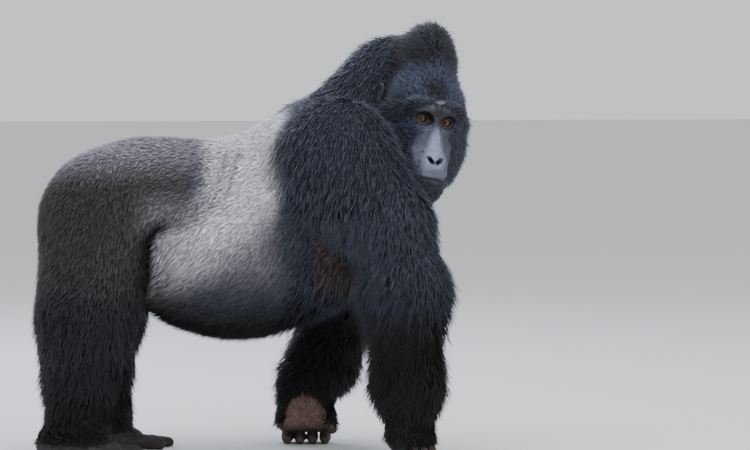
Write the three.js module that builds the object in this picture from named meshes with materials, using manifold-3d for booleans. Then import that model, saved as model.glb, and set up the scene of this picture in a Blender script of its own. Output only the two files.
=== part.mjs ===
// A silverback mountain gorilla standing on its knuckles, life size, its head turned over the right shoulder.
// The body is one signed distance field, blended from named bones and muscles. Each sub-part is a net of
// triangles on that field, parted from its neighbours by thin cuts. Millimetres, +X forwards, +Y left, +Z up.
import * as THREE from "three";
import { mergeVertices } from "three/addons/utils/BufferGeometryUtils.js";
import Module from "manifold-3d";

const wasm = await Module();
wasm.setup();

// ---- driving sizes --------------------------------------------------------------------------------------

const GAP = 0.4; // between touching sub-parts
const LEFT = 1;
const RIGHT = -1;

// The width of a net's cells.
const CELL = { body: 68, crown: 46, face: 26, ear: 16, hand: 34, finger: 19, foot: 44, owner: 194 };

const EYES_AT = [438, -132, 852]; // the point midway between the pupils
const HEAD_YAW = -79; // degrees from straight ahead, towards the right shoulder
const HEAD_ROLL = 10.5; // degrees, the left eye lower than the right
const HEAD_PITCH = 2; // degrees, the nose down
const PUPILS_APART = 66;
const EYE_RADIUS = 13.5;

// ---- distance fields: a field is a function of x, y, z that is negative inside --------------------------

const smoothMin = (a, b, k) => {
  const h = Math.max(k - Math.abs(a - b), 0) / k;
  return Math.min(a, b) - (h * h * k) / 4;
};

const ellipsoid = ([cx, cy, cz], [rx, ry, rz]) => (x, y, z) => {
  const [u, v, w] = [(x - cx) / rx, (y - cy) / ry, (z - cz) / rz];
  const near = Math.hypot(u, v, w);
  const slope = Math.hypot(u / rx, v / ry, w / rz);
  return slope < 1e-9 ? -Math.min(rx, ry, rz) : (near * (near - 1)) / slope;
};

// A tapered rod with round ends, widened across the body's Y axis by `wide`.
const rod = (from, to, r1, r2, wide = 1) => {
  const [ax, ay, az] = [from[0], from[1] / wide, from[2]];
  const [bx, by, bz] = [to[0] - ax, to[1] / wide - ay, to[2] - az];
  const squareLength = bx * bx + by * by + bz * bz;
  return (x, y, z) => {
    const [px, py, pz] = [x - ax, y / wide - ay, z - az];
    const share = THREE.MathUtils.clamp((px * bx + py * by + pz * bz) / squareLength, 0, 1);
    const radius = r1 + (r2 - r1) * share;
    return Math.hypot(px - share * bx, py - share * by, pz - share * bz) - radius;
  };
};

const blend = (k, ...fields) => (x, y, z) => {
  let least = fields[0](x, y, z);
  for (let i = 1; i < fields.length; i++) least = smoothMin(least, fields[i](x, y, z), k);
  return least;
};

const carve = (k, field, ...tools) => (x, y, z) => {
  let deepest = field(x, y, z);
  for (const tool of tools) deepest = -smoothMin(-deepest, tool(x, y, z), k);
  return deepest;
};

const within = (matrix, field) => {
  const inverse = matrix.clone().invert();
  const point = new THREE.Vector3();
  return (x, y, z) => {
    point.set(x, y, z).applyMatrix4(inverse);
    return field(point.x, point.y, point.z);
  };
};

// ---- solids ---------------------------------------------------------------------------------------------

const solidOf = (geometry) => {
  const bare = geometry.clone();
  for (const name of Object.keys(bare.attributes)) if (name !== "position") bare.deleteAttribute(name);
  const merged = mergeVertices(bare, 1e-3);
  return new wasm.Manifold(
    new wasm.Mesh({
      numProp: 3,
      vertProperties: merged.attributes.position.array,
      triVerts: new Uint32Array(merged.index.array),
    }),
  );
};

// A solid's mesh, its corners on a fine grid so that no sliver opens it when it is written.
const FINEST = 0.05;
const geometryOf = (solid) => {
  const mesh = solid.getMesh();
  const places = Float32Array.from(mesh.vertProperties, (value) => Math.round(value / FINEST) * FINEST);
  const snapped = new THREE.BufferGeometry()
    .setAttribute("position", new THREE.BufferAttribute(places, 3))
    .setIndex(new THREE.BufferAttribute(new Uint32Array(mesh.triVerts), 1));
  const geometry = mergeVertices(snapped, FINEST / 10);
  const corners = geometry.index.array;
  const kept = new Map(); // by the three corners; two triangles folded onto each other both go
  for (let t = 0; t < corners.length; t += 3) {
    const [a, b, c] = corners.slice(t, t + 3);
    if (a === b || b === c || c === a) continue;
    const key = [a, b, c].sort().join();
    if (!kept.delete(key)) kept.set(key, [a, b, c]);
  }
  return geometry.setIndex([...kept.values()].flat());
};

const largest = (solid) => solid.decompose().sort((a, b) => b.volume() - a.volume())[0];

function isClosed(geometry) {
  try {
    return solidOf(geometry).volume() > 0;
  } catch {
    return false;
  }
}

// A closed net on a field's surface inside a box: one vertex in each cell that it crosses, moved onto it.
function netOf(field, low, high, cell) {
  const size = low.map((value, i) => Math.ceil((high[i] - value) / cell) + 1);
  const [nx, ny, nz] = size;
  const at = (i, j, k) => (k * ny + j) * nx + i;
  const place = (i, j, k) => [low[0] + i * cell, low[1] + j * cell, low[2] + k * cell];
  const values = new Float64Array(nx * ny * nz);
  const edgeOfBox = (i, j, k) => !i || !j || !k || i === nx - 1 || j === ny - 1 || k === nz - 1;
  for (let k = 0; k < nz; k++)
    for (let j = 0; j < ny; j++)
      for (let i = 0; i < nx; i++)
        values[at(i, j, k)] = edgeOfBox(i, j, k) ? cell : field(...place(i, j, k)) || 1e-6;

  const corners = [0, 1, 2, 3, 4, 5, 6, 7].map((n) => [n & 1, (n >> 1) & 1, (n >> 2) & 1]);
  const edges = [];
  for (let a = 0; a < 8; a++) for (const bit of [1, 2, 4]) if (!(a & bit)) edges.push([a, a | bit]);
  const vertexIn = new Int32Array(nx * ny * nz).fill(-1);
  const points = [];
  for (let k = 0; k < nz - 1; k++)
    for (let j = 0; j < ny - 1; j++)
      for (let i = 0; i < nx - 1; i++) {
        const sum = [0, 0, 0];
        let count = 0;
        for (const [a, b] of edges) {
          const [ca, cb] = [corners[a], corners[b]];
          const va = values[at(i + ca[0], j + ca[1], k + ca[2])];
          const vb = values[at(i + cb[0], j + cb[1], k + cb[2])];
          if (va < 0 === vb < 0) continue;
          const t = va / (va - vb);
          for (let axis = 0; axis < 3; axis++) sum[axis] += ca[axis] + (cb[axis] - ca[axis]) * t;
          count++;
        }
        if (!count) continue;
        vertexIn[at(i, j, k)] = points.length / 3;
        points.push(...place(i + sum[0] / count, j + sum[1] / count, k + sum[2] / count));
      }
  settle(points, field, low, high, cell);

  const triangles = [];
  const steps = [at(1, 0, 0), at(0, 1, 0), at(0, 0, 1)];
  for (let k = 0; k < nz - 1; k++)
    for (let j = 0; j < ny - 1; j++)
      for (let i = 0; i < nx - 1; i++)
        for (let axis = 0; axis < 3; axis++) {
          const here = at(i, j, k);
          const inside = values[here] < 0;
          if (inside === values[here + steps[axis]] < 0) continue;
          const [s1, s2] = [steps[(axis + 1) % 3], steps[(axis + 2) % 3]];
          const ring = [here, here - s1, here - s1 - s2, here - s2].map((n) => vertexIn[n]);
          if (!inside) ring.reverse();
          triangles.push(ring[0], ring[1], ring[2], ring[0], ring[2], ring[3]);
        }
  return new THREE.BufferGeometry()
    .setAttribute("position", new THREE.BufferAttribute(new Float32Array(points), 3))
    .setIndex(triangles);
}

// Moves each point of a net along the field's slope onto its surface.
function settle(points, field, low, high, cell) {
  const step = cell / 50;
  const inner = (value, axis) => value > low[axis] + 1.1 * cell && value < high[axis] - 1.1 * cell;
  for (let n = 0; n < points.length; n += 3)
    for (let round = 0; round < 2; round++) {
      const [x, y, z] = points.slice(n, n + 3);
      if (![x, y, z].every(inner)) continue;
      const value = field(x, y, z);
      const slope = [
        field(x + step, y, z) - value,
        field(x, y + step, z) - value,
        field(x, y, z + step) - value,
      ].map((rise) => rise / step);
      const square = slope[0] ** 2 + slope[1] ** 2 + slope[2] ** 2;
      if (square < 0.05) continue;
      const move = THREE.MathUtils.clamp(value / square, -cell / 9, cell / 9);
      slope.forEach((rise, axis) => (points[n + axis] -= move * rise));
    }
}

const ALL = 3000; // wider than the animal

// The half of space on the side of a point that a direction points to, moved that way by `shift`.
function halfSpace([point, direction], shift) {
  const normal = new THREE.Vector3(...direction).normalize();
  const middle = new THREE.Vector3(...point).addScaledVector(normal, ALL / 2 + shift);
  const turn = new THREE.Quaternion().setFromUnitVectors(new THREE.Vector3(1, 0, 0), normal);
  return solidOf(
    new THREE.BoxGeometry(ALL, ALL, ALL).applyQuaternion(turn).translate(middle.x, middle.y, middle.z),
  );
}

// Parts a solid in two with a thin gap: what lies inside all the planes, and the rest.
// A plane is a point and a direction.
function partedBy(solid, ...planes) {
  const wedge = (shift) => planes.map((plane) => halfSpace(plane, shift)).reduce((a, b) => a.intersect(b));
  return [largest(solid.intersect(wedge(GAP / 2))), largest(solid.subtract(wedge(-GAP / 2)))];
}

// A solid a little larger than a geometry: at a sharp edge a vertex has to move further than the gap.
function grown(geometry) {
  const bigger = geometry.clone();
  bigger.computeVertexNormals();
  const { position, normal } = bigger.attributes;
  for (let n = 0; n < position.count; n++) {
    const out = new THREE.Vector3().fromBufferAttribute(normal, n).multiplyScalar(GAP * 2);
    position.setXYZ(n, position.getX(n) + out.x, position.getY(n) + out.y, position.getZ(n) + out.z);
  }
  return solidOf(bigger);
}
// A tapered rod with domed ends, one bone of a digit with its flesh.
function phalanx(from, to, r1, r2) {
  const [start, end] = [new THREE.Vector3(...from), new THREE.Vector3(...to)];
  const length = start.distanceTo(end);
  const dome = Math.SQRT1_2;
  const profile = [[0, -r1], [r1 * dome, -r1 * dome], [r1, 0], [r2, length], [r2 * dome, length + r2 * dome]];
  profile.push([0, length + r2]);
  const along = end.sub(start).normalize();
  const turn = new THREE.Quaternion().setFromUnitVectors(new THREE.Vector3(0, 1, 0), along);
  return solidOf(
    new THREE.LatheGeometry(profile.map(([x, y]) => new THREE.Vector2(x, y)), 7)
      .applyQuaternion(turn)
      .translate(start.x, start.y, start.z),
  );
}

const clearOf = (solid, ...others) =>
  largest(others.reduce((left, other) => left.subtract(grown(geometryOf(other))), solid));
const onGround = (solid) => largest(solid.intersect(halfSpace([[0, 0, 0], [0, 0, 1]], 0)));

// ---- head, in its own frame: +X out of the face, +Y to its left, +Z up, from midway between the pupils --

const headMatrix = new THREE.Matrix4()
  .makeTranslation(...EYES_AT)
  .multiply(
    new THREE.Matrix4().makeRotationFromEuler(
      new THREE.Euler(
        THREE.MathUtils.degToRad(-HEAD_ROLL),
        THREE.MathUtils.degToRad(HEAD_PITCH),
        THREE.MathUtils.degToRad(HEAD_YAW),
        "ZYX",
      ),
    ),
  );
const onHead = (x, y, z) => new THREE.Vector3(x, y, z).applyMatrix4(headMatrix).toArray();
const alongHead = (x, y, z) => new THREE.Vector3(x, y, z).transformDirection(headMatrix).toArray();
const bothSides = (make) => [LEFT, RIGHT].map(make);

const skull = blend(
  50,
  ellipsoid([-88, 0, 20], [108, 104, 105]), // braincase and temples
  ellipsoid([-124, -4, 116], [98, 76, 131]), // sagittal crest and its pad
  ...bothSides((side) => ellipsoid([-72, side * 66, -74], [62, 52, 96])), // chewing muscles
  ellipsoid([-10, 0, -62], [58, 70, 92]), // middle of the face
);
const browRidge = blend(
  20,
  ...bothSides((side) => rod([16, 0, 30], [6, side * 56, 27], 18, 18)),
  ...bothSides((side) => rod([6, side * 56, 27], [-40, side * 94, 0], 18, 24)), // down to the cheekbones
);
const muzzle = blend(
  24,
  ellipsoid([30, 0, -124], [57, 52, 42]), // upper lip
  ellipsoid([24, 0, -167], [54, 49, 42]), // lower lip and chin
  rod([8, 0, -8], [38, 0, -76], 12, 19), // bridge of the nose
  ...bothSides((side) => ellipsoid([44, side * 19, -91], [23, 20, 17])), // wings of the nose
);
const headShape = within(headMatrix, blend(20, skull, browRidge, muzzle));

// Openings in the face, each a stretched ball: where it lies, its radii and its turn about the X axis.
const OPENINGS = bothSides((side) => [
  { at: [22, (side * PUPILS_APART) / 2, -2], radii: [26, 21, 13], turn: side * -6 }, // eye socket
  { at: [74, side * 13, -98], radii: [16, 5, 8], turn: side * 35 }, // nostril
]).flat();

// ---- trunk and neck -------------------------------------------------------------------------------------

const trunkShape = blend(
  90,
  ellipsoid([-50, 0, 520], [290, 280, 222]), // belly
  ellipsoid([130, 0, 608], [225, 240, 238]), // ribs
  ellipsoid([-283, 0, 632], [226, 180, 184]), // hips and rump
  ellipsoid([-200, 0, 568], [150, 222, 178]), // loins
  rod([-120, 0, 660], [150, 0, 698], 118, 160, 1.25), // back
  rod([140, 0, 736], [272, 10, 775], 118, 130, 1.1), // withers
  ...bothSides((side) => ellipsoid([196, side * 132, 778], [118, 98, 122])), // shoulder blades
);
const neckShape = blend(
  60,
  rod([213, 30, 804], [366, 88, 908], 122, 160, 0.68), // nape
  rod([280, 0, 738], [396, -20, 776], 150, 96), // throat
);

// ---- limbs ----------------------------------------------------------------------------------------------

const ARMS = {
  [RIGHT]: {
    shoulder: [186, -212, 748],
    middle: [318, -250, 600],
    elbow: [352, -262, 425],
    cuff: [362, -246, 215],
    wrist: [366, -240, 156],
  },
  [LEFT]: {
    shoulder: [178, 208, 738],
    middle: [238, 248, 592],
    elbow: [262, 256, 420],
    cuff: [192, 228, 225],
    wrist: [146, 218, 156],
  },
};
const LEGS = {
  [RIGHT]: {
    hip: [-380, -108, 606], knee: [-444, -182, 350], calf: [-456, -172, 235], ankle: [-462, -164, 96],
  },
  [LEFT]: { hip: [-368, 108, 606], knee: [-394, 182, 350], calf: [-402, 170, 235], ankle: [-392, 160, 96] },
};

const shoulderShape = (side) => {
  const { shoulder, middle } = ARMS[side];
  return blend(60, ellipsoid(shoulder, [150, 110, 158]), rod(shoulder, middle, 118, 99, 0.9));
};
const armShape = (side) => {
  const { middle, elbow, cuff, wrist } = ARMS[side];
  return blend(
    60,
    shoulderShape(side),
    rod(middle, elbow, 106, 112, 0.88),
    rod(elbow, cuff, 128, 98, 0.85),
    rod(cuff, wrist, 94, 80, 0.8),
  );
};
const haunchShape = (side) => {
  const { hip, knee } = LEGS[side];
  const buttock = [hip[0] - 4, side * 102, 592];
  return blend(60, ellipsoid(buttock, [162, 104, 162]), rod(hip, knee, 138, 116, 0.82));
};
const legShape = (side) => {
  const { hip, knee, calf, ankle } = LEGS[side];
  const hamstring = [hip[0] - 62, hip[1] + side * 40, 430];
  return blend(
    60,
    haunchShape(side),
    ellipsoid(hamstring, [112, 90, 150]),
    rod(knee, calf, 112, 98, 0.85),
    rod(calf, ankle, 98, 90, 0.85),
  );
};

// ---- hands, knuckles down: +X to the thumb's side, +Y out of the palm, +Z up to the wrist ---------------

const PALM_LENGTH = 106;
const KNUCKLES_APART = 33;
const FINGER_LENGTHS = { index: 0.94, middle: 1.04, ring: 1, little: 0.84 };
const FINGER_RADII = [15.5, 15, 13]; // at the knuckle, the middle joint and the tip
const HAND_TURN = { [RIGHT]: 40, [LEFT]: 6 }; // degrees that the thumb's side turns inwards

const framed = (matrix) => (x, y, z) => new THREE.Vector3(x, y, z).applyMatrix4(matrix).toArray();
const frameAt = ([x, y, z], degrees, acrossY) =>
  new THREE.Matrix4()
    .makeTranslation(x, y, z)
    .multiply(new THREE.Matrix4().makeRotationZ(THREE.MathUtils.degToRad(degrees)))
    .multiply(new THREE.Matrix4().makeScale(1, acrossY, 1));
const onHand = (side) => framed(frameAt(ARMS[side].wrist, -side * HAND_TURN[side], -side));
const acrossHand = (order) => (1.5 - order) * KNUCKLES_APART;

const palmShape = (side) => {
  const put = onHand(side);
  const metacarpals = [0, 1, 2, 3].map((order) =>
    rod(put(acrossHand(order) * 0.6, -2, -8), put(acrossHand(order), -4, 2 - PALM_LENGTH), 30, 24),
  );
  return blend(
    18,
    ...metacarpals,
    rod(put(30, 10, -22), put(42, 14, -62), 25, 19), // ball of the thumb
    rod(put(-30, 8, -24), put(-38, 8, -80), 23, 17), // heel of the hand
    rod(put(0, 0, 30), put(0, 0, -20), 50, 36), // wrist
    rod(put(-34, -18, 0), put(-44, -20, -76), 42, 24), // hair down the back of the hand
    rod(put(34, -18, 0), put(44, -20, -76), 42, 24),
  );
};

// A finger goes from its knuckle down to the ground, then back under the palm to its tip.
const fingerShape = (side, order, length) => {
  const put = onHand(side);
  const ground = -ARMS[side].wrist[2];
  const across = acrossHand(order);
  const [knuckleRadius, middleRadius, tipRadius] = FINGER_RADII;
  const middle = put(across, -8 - 30 * length, ground + 10.5);
  return blend(
    8,
    rod(put(across, -6, 2 - PALM_LENGTH), middle, knuckleRadius, middleRadius),
    rod(middle, put(across, 24 * length, ground + 9.5), middleRadius, tipRadius),
  );
};
const THUMB = { base: [46, 12, -64], tip: [68, 28, -116], radius: 17, tipRadius: 13 };

// ---- feet, soles flat: +X to the toes, +Y to the outer edge, +Z up, from under the ankle ----------------

const FOOT = { heel: -58, ball: 96, outwards: 12 };
const TOES = [
  { name: "second_toe", base: [92, -21], tip: [176, -24], radius: 15.5 },
  { name: "third_toe", base: [94, 11], tip: [182, 10], radius: 14.5 },
  { name: "fourth_toe", base: [86, 41], tip: [170, 44], radius: 13.5 },
  { name: "fifth_toe", base: [74, 71], tip: [148, 80], radius: 12.5 },
  { name: "great_toe", base: [38, -46], tip: [132, -88], radius: 20 },
];

const onFoot = (side) => {
  const [x, y] = LEGS[side].ankle;
  return framed(frameAt([x, y, 0], side * FOOT.outwards, side));
};
const toeSolid = (side, { base, tip, radius }) =>
  phalanx(onFoot(side)(...base, radius + 4), onFoot(side)(...tip, radius - 5.5), radius + 1, radius - 3);
const soleShape = (side) => {
  const put = onFoot(side);
  return blend(
    24,
    rod(put(FOOT.heel, 0, 42), put(-10, 2, 46), 50, 58), // heel
    rod(put(-10, 2, 46), put(FOOT.ball - 8, 14, 22), 52, 26), // instep
    rod(put(10, 26, 26), put(72, 60, 18), 32, 20), // outer edge
    rod(put(0, -16, 30), put(86, -18, 22), 36, 25), // inner edge
    rod(put(0, 0, 110), put(-6, 0, 64), 66, 56), // ankle
    rod(put(8, -22, 26), put(46, -50, 22), 32, 25), // root of the great toe
  );
};

// ---- parting the body into sub-parts --------------------------------------------------------------------

const coreShape = blend(60, blend(70, trunkShape, neckShape), headShape);
const torsoShape = blend(70, coreShape, ...bothSides(shoulderShape), ...bothSides(haunchShape));
const bodyShape = blend(56, torsoShape, ...bothSides(armShape), ...bothSides(legShape));

const SIDE_NAMES = { [LEFT]: "left", [RIGHT]: "right" };
const solids = {}; // by name

// A net on a field in a box about a point. One that touches itself is made again with slightly smaller cells.
function netAround(field, centre, reach, cell) {
  const [low, high] = [-1, 1].map((way) => centre.map((value, i) => value + way * reach[i]));
  for (const finer of [1, 0.97, 0.94, 0.91, 0.88, 0.85]) {
    const net = netOf(field, low, high, cell * finer);
    if (isClosed(net)) return net;
  }
  throw new Error("a net touches itself");
}
const solidAround = (field, centre, reach, cell) => solidOf(netAround(field, centre, reach, cell));

let body = solidAround(bodyShape, [0, 0, 560], [680, 440, 646], CELL.body);

// Takes from the body what lies nearer to a limb's own shape than to the core's.
function takeLimb(shape, centre, reach, ...planes) {
  const owner = netAround((x, y, z) => shape(x, y, z) - coreShape(x, y, z), centre, reach, CELL.owner);
  const within = (solid) => planes.reduce((left, plane) => left.intersect(halfSpace(plane, 0)), solid);
  const limb = largest(body.intersect(within(solidOf(owner))));
  body = largest(body.subtract(within(grown(owner))));
  return limb;
}

const LEG_ENDS_AT = 62; // above the floor, where the hair of the leg ends over the foot
const ARM_ENDS_AT = { [RIGHT]: 112, [LEFT]: 146 };
for (const side of [LEFT, RIGHT]) {
  const name = SIDE_NAMES[side];
  const arm = takeLimb(armShape(side), [260, side * 380, 420], [520, 480, 760]);
  const [upper, lower] = partedBy(arm, [ARMS[side].elbow, [0, 0, 1]]);
  solids[`upper_arm_${name}`] = upper;
  solids[`forearm_${name}`] = partedBy(lower, [[0, 0, ARM_ENDS_AT[side]], [0, 0, 1]])[0];

  const midline = [[0, side * GAP, 0], [0, side, 0]];
  const leg = takeLimb(legShape(side), [-400, side * 380, 340], [480, 480, 720], midline);
  const [thigh, calf] = partedBy(leg, [LEGS[side].knee, [0, 0, 1]]);
  solids[`thigh_${name}`] = thigh;
  solids[`lower_leg_${name}`] = partedBy(calf, [[0, 0, LEG_ENDS_AT], [0, 0, 1]])[0];
}

// The head sits on a slanting cut from under the chin to the back of the crest.
const HEAD_CUT = [
  [onHead(40, 0, -222), alongHead(0.71, 0, 0.7)],
  [onHead(0, -138, 0), alongHead(0, 1, 0.35)],
];
const FACE_CUT = [onHead(-30, 0, 0), alongHead(1, 0, -0.12)];
const MOUTH_CUT = [onHead(90, 0, -145), alongHead(-0.12, 0, -1)];
const headless = partedBy(body, ...HEAD_CUT)[1];
const [neck, trunk] = partedBy(headless, [[300, -20, 800], [0.72, 0, 0.69]]);
const [chest, loins] = partedBy(trunk, [[15, 0, 600], [1, 0, 0.1]]);
const [belly, rump] = partedBy(loins, [[-250, 0, 600], [1, 0, -0.15]]);
Object.assign(solids, { neck, chest, belly, rump });

const ballOnHead = ({ at, radii, turn }) => {
  const ball = new THREE.SphereGeometry(1, 9, 5).scale(...radii).rotateX(THREE.MathUtils.degToRad(turn));
  return solidOf(ball.translate(...at).applyMatrix4(headMatrix));
};
const fineNet = solidAround(coreShape, onHead(10, 0, -50), [230, 210, 290], CELL.face);
const fineHead = OPENINGS.map(ballOnHead).reduce((left, opening) => left.subtract(opening), fineNet);
const face = partedBy(partedBy(fineHead, ...HEAD_CUT)[0], FACE_CUT)[0];
const [lowerJaw, upperFace] = partedBy(clearOf(face, solids.upper_arm_right), MOUTH_CUT);
const crownNet = solidAround(coreShape, onHead(-80, 0, 60), [270, 260, 310], CELL.crown);
const crown = partedBy(partedBy(crownNet, ...HEAD_CUT)[0], FACE_CUT)[1];

// An ear stands half out of the hair, a dished oval.
const EAR = { back: -106, up: 42 };
function earPlace(side) {
  let reach = 90;
  while (coreShape(...onHead(EAR.back, side * reach, EAR.up)) < -3) reach += 1;
  return [EAR.back, side * reach, EAR.up];
}
const earShape = (side) => {
  const [x, y, z] = earPlace(side);
  return carve(4, ellipsoid([x, y, z], [20, 14, 31]), ellipsoid([x + 8, y + side * 13, z + 2], [12, 10, 18]));
};
for (const side of [LEFT, RIGHT]) {
  const name = SIDE_NAMES[side];
  const eye = new THREE.SphereGeometry(EYE_RADIUS, 8, 6).rotateZ(-Math.PI / 2);
  eye.translate(0, (side * PUPILS_APART) / 2, 0).applyMatrix4(headMatrix);
  solids[`eye_${name}`] = solidOf(eye);
  const ear = within(headMatrix, earShape(side));
  solids[`ear_${name}`] = solidAround(ear, onHead(...earPlace(side)), [60, 60, 60], CELL.ear);
}
solids.face = clearOf(upperFace, solids.eye_left, solids.eye_right);
solids.crown = clearOf(crown, solids.ear_left, solids.ear_right);
solids.lower_jaw = lowerJaw;

// ---- hands and feet as solids ---------------------------------------------------------------------------

const NAIL_THICKNESS = 3.5;

// Parts the nail from a digit: a thin cap of its domed tip, on the side that `up` points to.
function partNail(digit, put, tip, radius, up) {
  const [centre, top] = [put(...tip), put(...tip.map((value, i) => value + up[i]))];
  const direction = new THREE.Vector3(...top).sub(new THREE.Vector3(...centre)).normalize();
  const point = new THREE.Vector3(...centre).addScaledVector(direction, radius - NAIL_THICKNESS);
  return partedBy(digit, [point.toArray(), direction.toArray()]);
}

for (const side of [LEFT, RIGHT]) {
  const name = SIDE_NAMES[side];
  const [wristX, wristY] = ARMS[side].wrist;
  const aroundHand = (shape, cell) => solidAround(shape, [wristX, wristY, 70], [150, 150, 150], cell);
  const palm = clearOf(aroundHand(palmShape(side), CELL.hand), solids[`forearm_${name}`]);
  solids[`palm_${name}`] = palm;
  Object.entries(FINGER_LENGTHS).forEach(([finger, length], order) => {
    const shape = fingerShape(side, order, length);
    solids[`${finger}_finger_${name}`] = clearOf(onGround(aroundHand(shape, CELL.finger)), palm);
  });
  const [thumbBase, thumbTip] = [THUMB.base, THUMB.tip].map((place) => onHand(side)(...place));
  const thumb = clearOf(phalanx(thumbBase, thumbTip, THUMB.radius, THUMB.tipRadius), palm);
  const [thumbnail, pad] = partNail(thumb, onHand(side), THUMB.tip, THUMB.tipRadius, [1, 0, -0.2]);
  solids[`thumbnail_${name}`] = thumbnail;
  solids[`thumb_${name}`] = pad;

  const [ankleX, ankleY] = LEGS[side].ankle;
  const soleNet = solidAround(soleShape(side), [ankleX + 30, ankleY, 60], [240, 190, 180], CELL.foot);
  const sole = clearOf(onGround(soleNet), solids[`lower_leg_${name}`]);
  solids[`foot_${name}`] = sole;
  for (const { name: toe, base, tip, radius } of TOES) {
    const digit = clearOf(onGround(toeSolid(side, { base, tip, radius })), sole);
    const [nail, rest] = partNail(digit, onFoot(side), [...tip, radius - 5.5], radius - 3, [0.4, 0, 1]);
    solids[`${toe}_nail_${name}`] = nail;
    solids[`${toe}_${name}`] = rest;
  }
}

// ---- the animal, standing on the origin -----------------------------------------------------------------

const FINISHES = [
  { of: /^eye/, color: 0x6b3a14, roughness: 0.12 },
  { of: /nail/, color: 0x4a4644, roughness: 0.45 },
  { of: /palm|finger|thumb/, color: 0x3a2c27, roughness: 0.7 },
  { of: /foot|toe/, color: 0x1d1b1c, roughness: 0.75 },
  { of: /face|jaw|ear/, color: 0x25262b, roughness: 0.6 },
  { of: /belly/, color: 0x77777a, roughness: 0.9 }, // the silver saddle
  { of: /rump|thigh/, color: 0x2f2a2a, roughness: 0.9 },
  { of: /./, color: 0x15151a, roughness: 0.85 }, // black coat
];

const gorilla = new THREE.Group();
for (const [name, solid] of Object.entries(solids)) {
  const { color, roughness } = FINISHES.find((finish) => finish.of.test(name));
  const mesh = new THREE.Mesh(geometryOf(solid), new THREE.MeshStandardMaterial({ color, roughness }));
  mesh.name = name;
  gorilla.add(mesh);
}
const box = new THREE.Box3().setFromObject(gorilla);
gorilla.position.set(-(box.min.x + box.max.x) / 2, -(box.min.y + box.max.y) / 2, -box.min.z);

export default gorilla;
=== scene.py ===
# A life-size silverback mountain gorilla on a pale studio floor: bare skin, coat, eyes and nails.
import math
from concurrent.futures import ThreadPoolExecutor
from functools import partial

import bmesh
import bpy
import numpy as np
from mathutils import Matrix, Vector


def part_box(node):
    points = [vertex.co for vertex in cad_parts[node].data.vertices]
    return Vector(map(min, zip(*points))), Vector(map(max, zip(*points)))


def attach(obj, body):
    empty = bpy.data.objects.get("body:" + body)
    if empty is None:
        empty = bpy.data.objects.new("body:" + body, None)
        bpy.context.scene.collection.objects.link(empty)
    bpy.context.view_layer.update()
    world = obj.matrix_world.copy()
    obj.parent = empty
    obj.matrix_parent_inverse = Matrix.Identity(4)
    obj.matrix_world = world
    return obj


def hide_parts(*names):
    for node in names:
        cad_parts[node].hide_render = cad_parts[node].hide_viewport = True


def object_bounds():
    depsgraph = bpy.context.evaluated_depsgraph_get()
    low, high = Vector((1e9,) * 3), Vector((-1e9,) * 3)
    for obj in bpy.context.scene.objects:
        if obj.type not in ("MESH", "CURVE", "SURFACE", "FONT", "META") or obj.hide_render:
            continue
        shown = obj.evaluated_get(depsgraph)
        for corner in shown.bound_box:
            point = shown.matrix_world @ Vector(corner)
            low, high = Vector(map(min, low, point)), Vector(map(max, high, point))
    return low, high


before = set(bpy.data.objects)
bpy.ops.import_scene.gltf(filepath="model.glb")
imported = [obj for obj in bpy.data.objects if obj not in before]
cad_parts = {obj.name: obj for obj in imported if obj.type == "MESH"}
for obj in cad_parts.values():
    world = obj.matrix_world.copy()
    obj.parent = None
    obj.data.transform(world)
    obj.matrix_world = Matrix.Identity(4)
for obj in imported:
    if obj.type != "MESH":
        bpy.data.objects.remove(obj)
cad_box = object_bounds()

MM = 0.001
LEFT, RIGHT = SIDES = 1, -1
SIDE_NAMES = {LEFT: "left", RIGHT: "right"}

# ---- the body's shape, as the solids have it: millimetres, in the drawing's frame ----------------

EYES_AT = np.array([438.0, -132.0, 852.0])  # midway between the pupils
HEAD_YAW, HEAD_ROLL, HEAD_PITCH = -79, 10.5, 2  # degrees
PUPILS_APART = 66
EYE_RADIUS = 13.5
ARMS = {
    RIGHT: {
        "shoulder": (186, -212, 748), "middle": (318, -250, 600), "elbow": (352, -262, 425),
        "cuff": (362, -246, 215), "wrist": (366, -240, 156),
    },
    LEFT: {
        "shoulder": (178, 208, 738), "middle": (238, 248, 592), "elbow": (262, 256, 420),
        "cuff": (192, 228, 225), "wrist": (146, 218, 156),
    },
}
LEGS = {
    RIGHT: {
        "hip": (-380, -108, 606), "knee": (-444, -182, 350),
        "calf": (-456, -172, 235), "ankle": (-462, -164, 96),
    },
    LEFT: {
        "hip": (-368, 108, 606), "knee": (-394, 182, 350),
        "calf": (-402, 170, 235), "ankle": (-392, 160, 96),
    },
}
PALM_LENGTH = 106
KNUCKLES_APART = 33
FINGER_LENGTHS = (0.94, 1.04, 1.0, 0.84)  # index to little
HAND_TURN = {RIGHT: 40, LEFT: 6}  # degrees that the thumb's side turns inwards
FOOT_TURN = 12
TOES = {
    "second_toe": ((92, -21), (176, -24), 15.5), "third_toe": ((94, 11), (182, 10), 14.5),
    "fourth_toe": ((86, 41), (170, 44), 13.5), "fifth_toe": ((74, 71), (148, 80), 12.5),
    "great_toe": ((38, -46), (132, -88), 20),
}
THUMB_BASE, THUMB_TIP, THUMB_RADII = (46, 12, -64), (68, 28, -116), (17, 13)


def middle_of(*nodes):
    """The middle of some nodes' boxes, in millimetres."""
    middles = [np.mean([np.array(corner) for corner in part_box(node)], axis=0) for node in nodes]
    return np.mean(middles, axis=0) / MM


SHIFT = middle_of("eye_left", "eye_right") - EYES_AT  # from the drawing's frame to the row's


def length(vectors):
    return np.sqrt(np.einsum("ij,ij->i", vectors, vectors))


def ellipsoid(points, centre, radii):
    offset = (points - centre) / radii
    near = length(offset)
    return near * (near - 1) / np.maximum(length(offset / radii), 1e-9)


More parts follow.
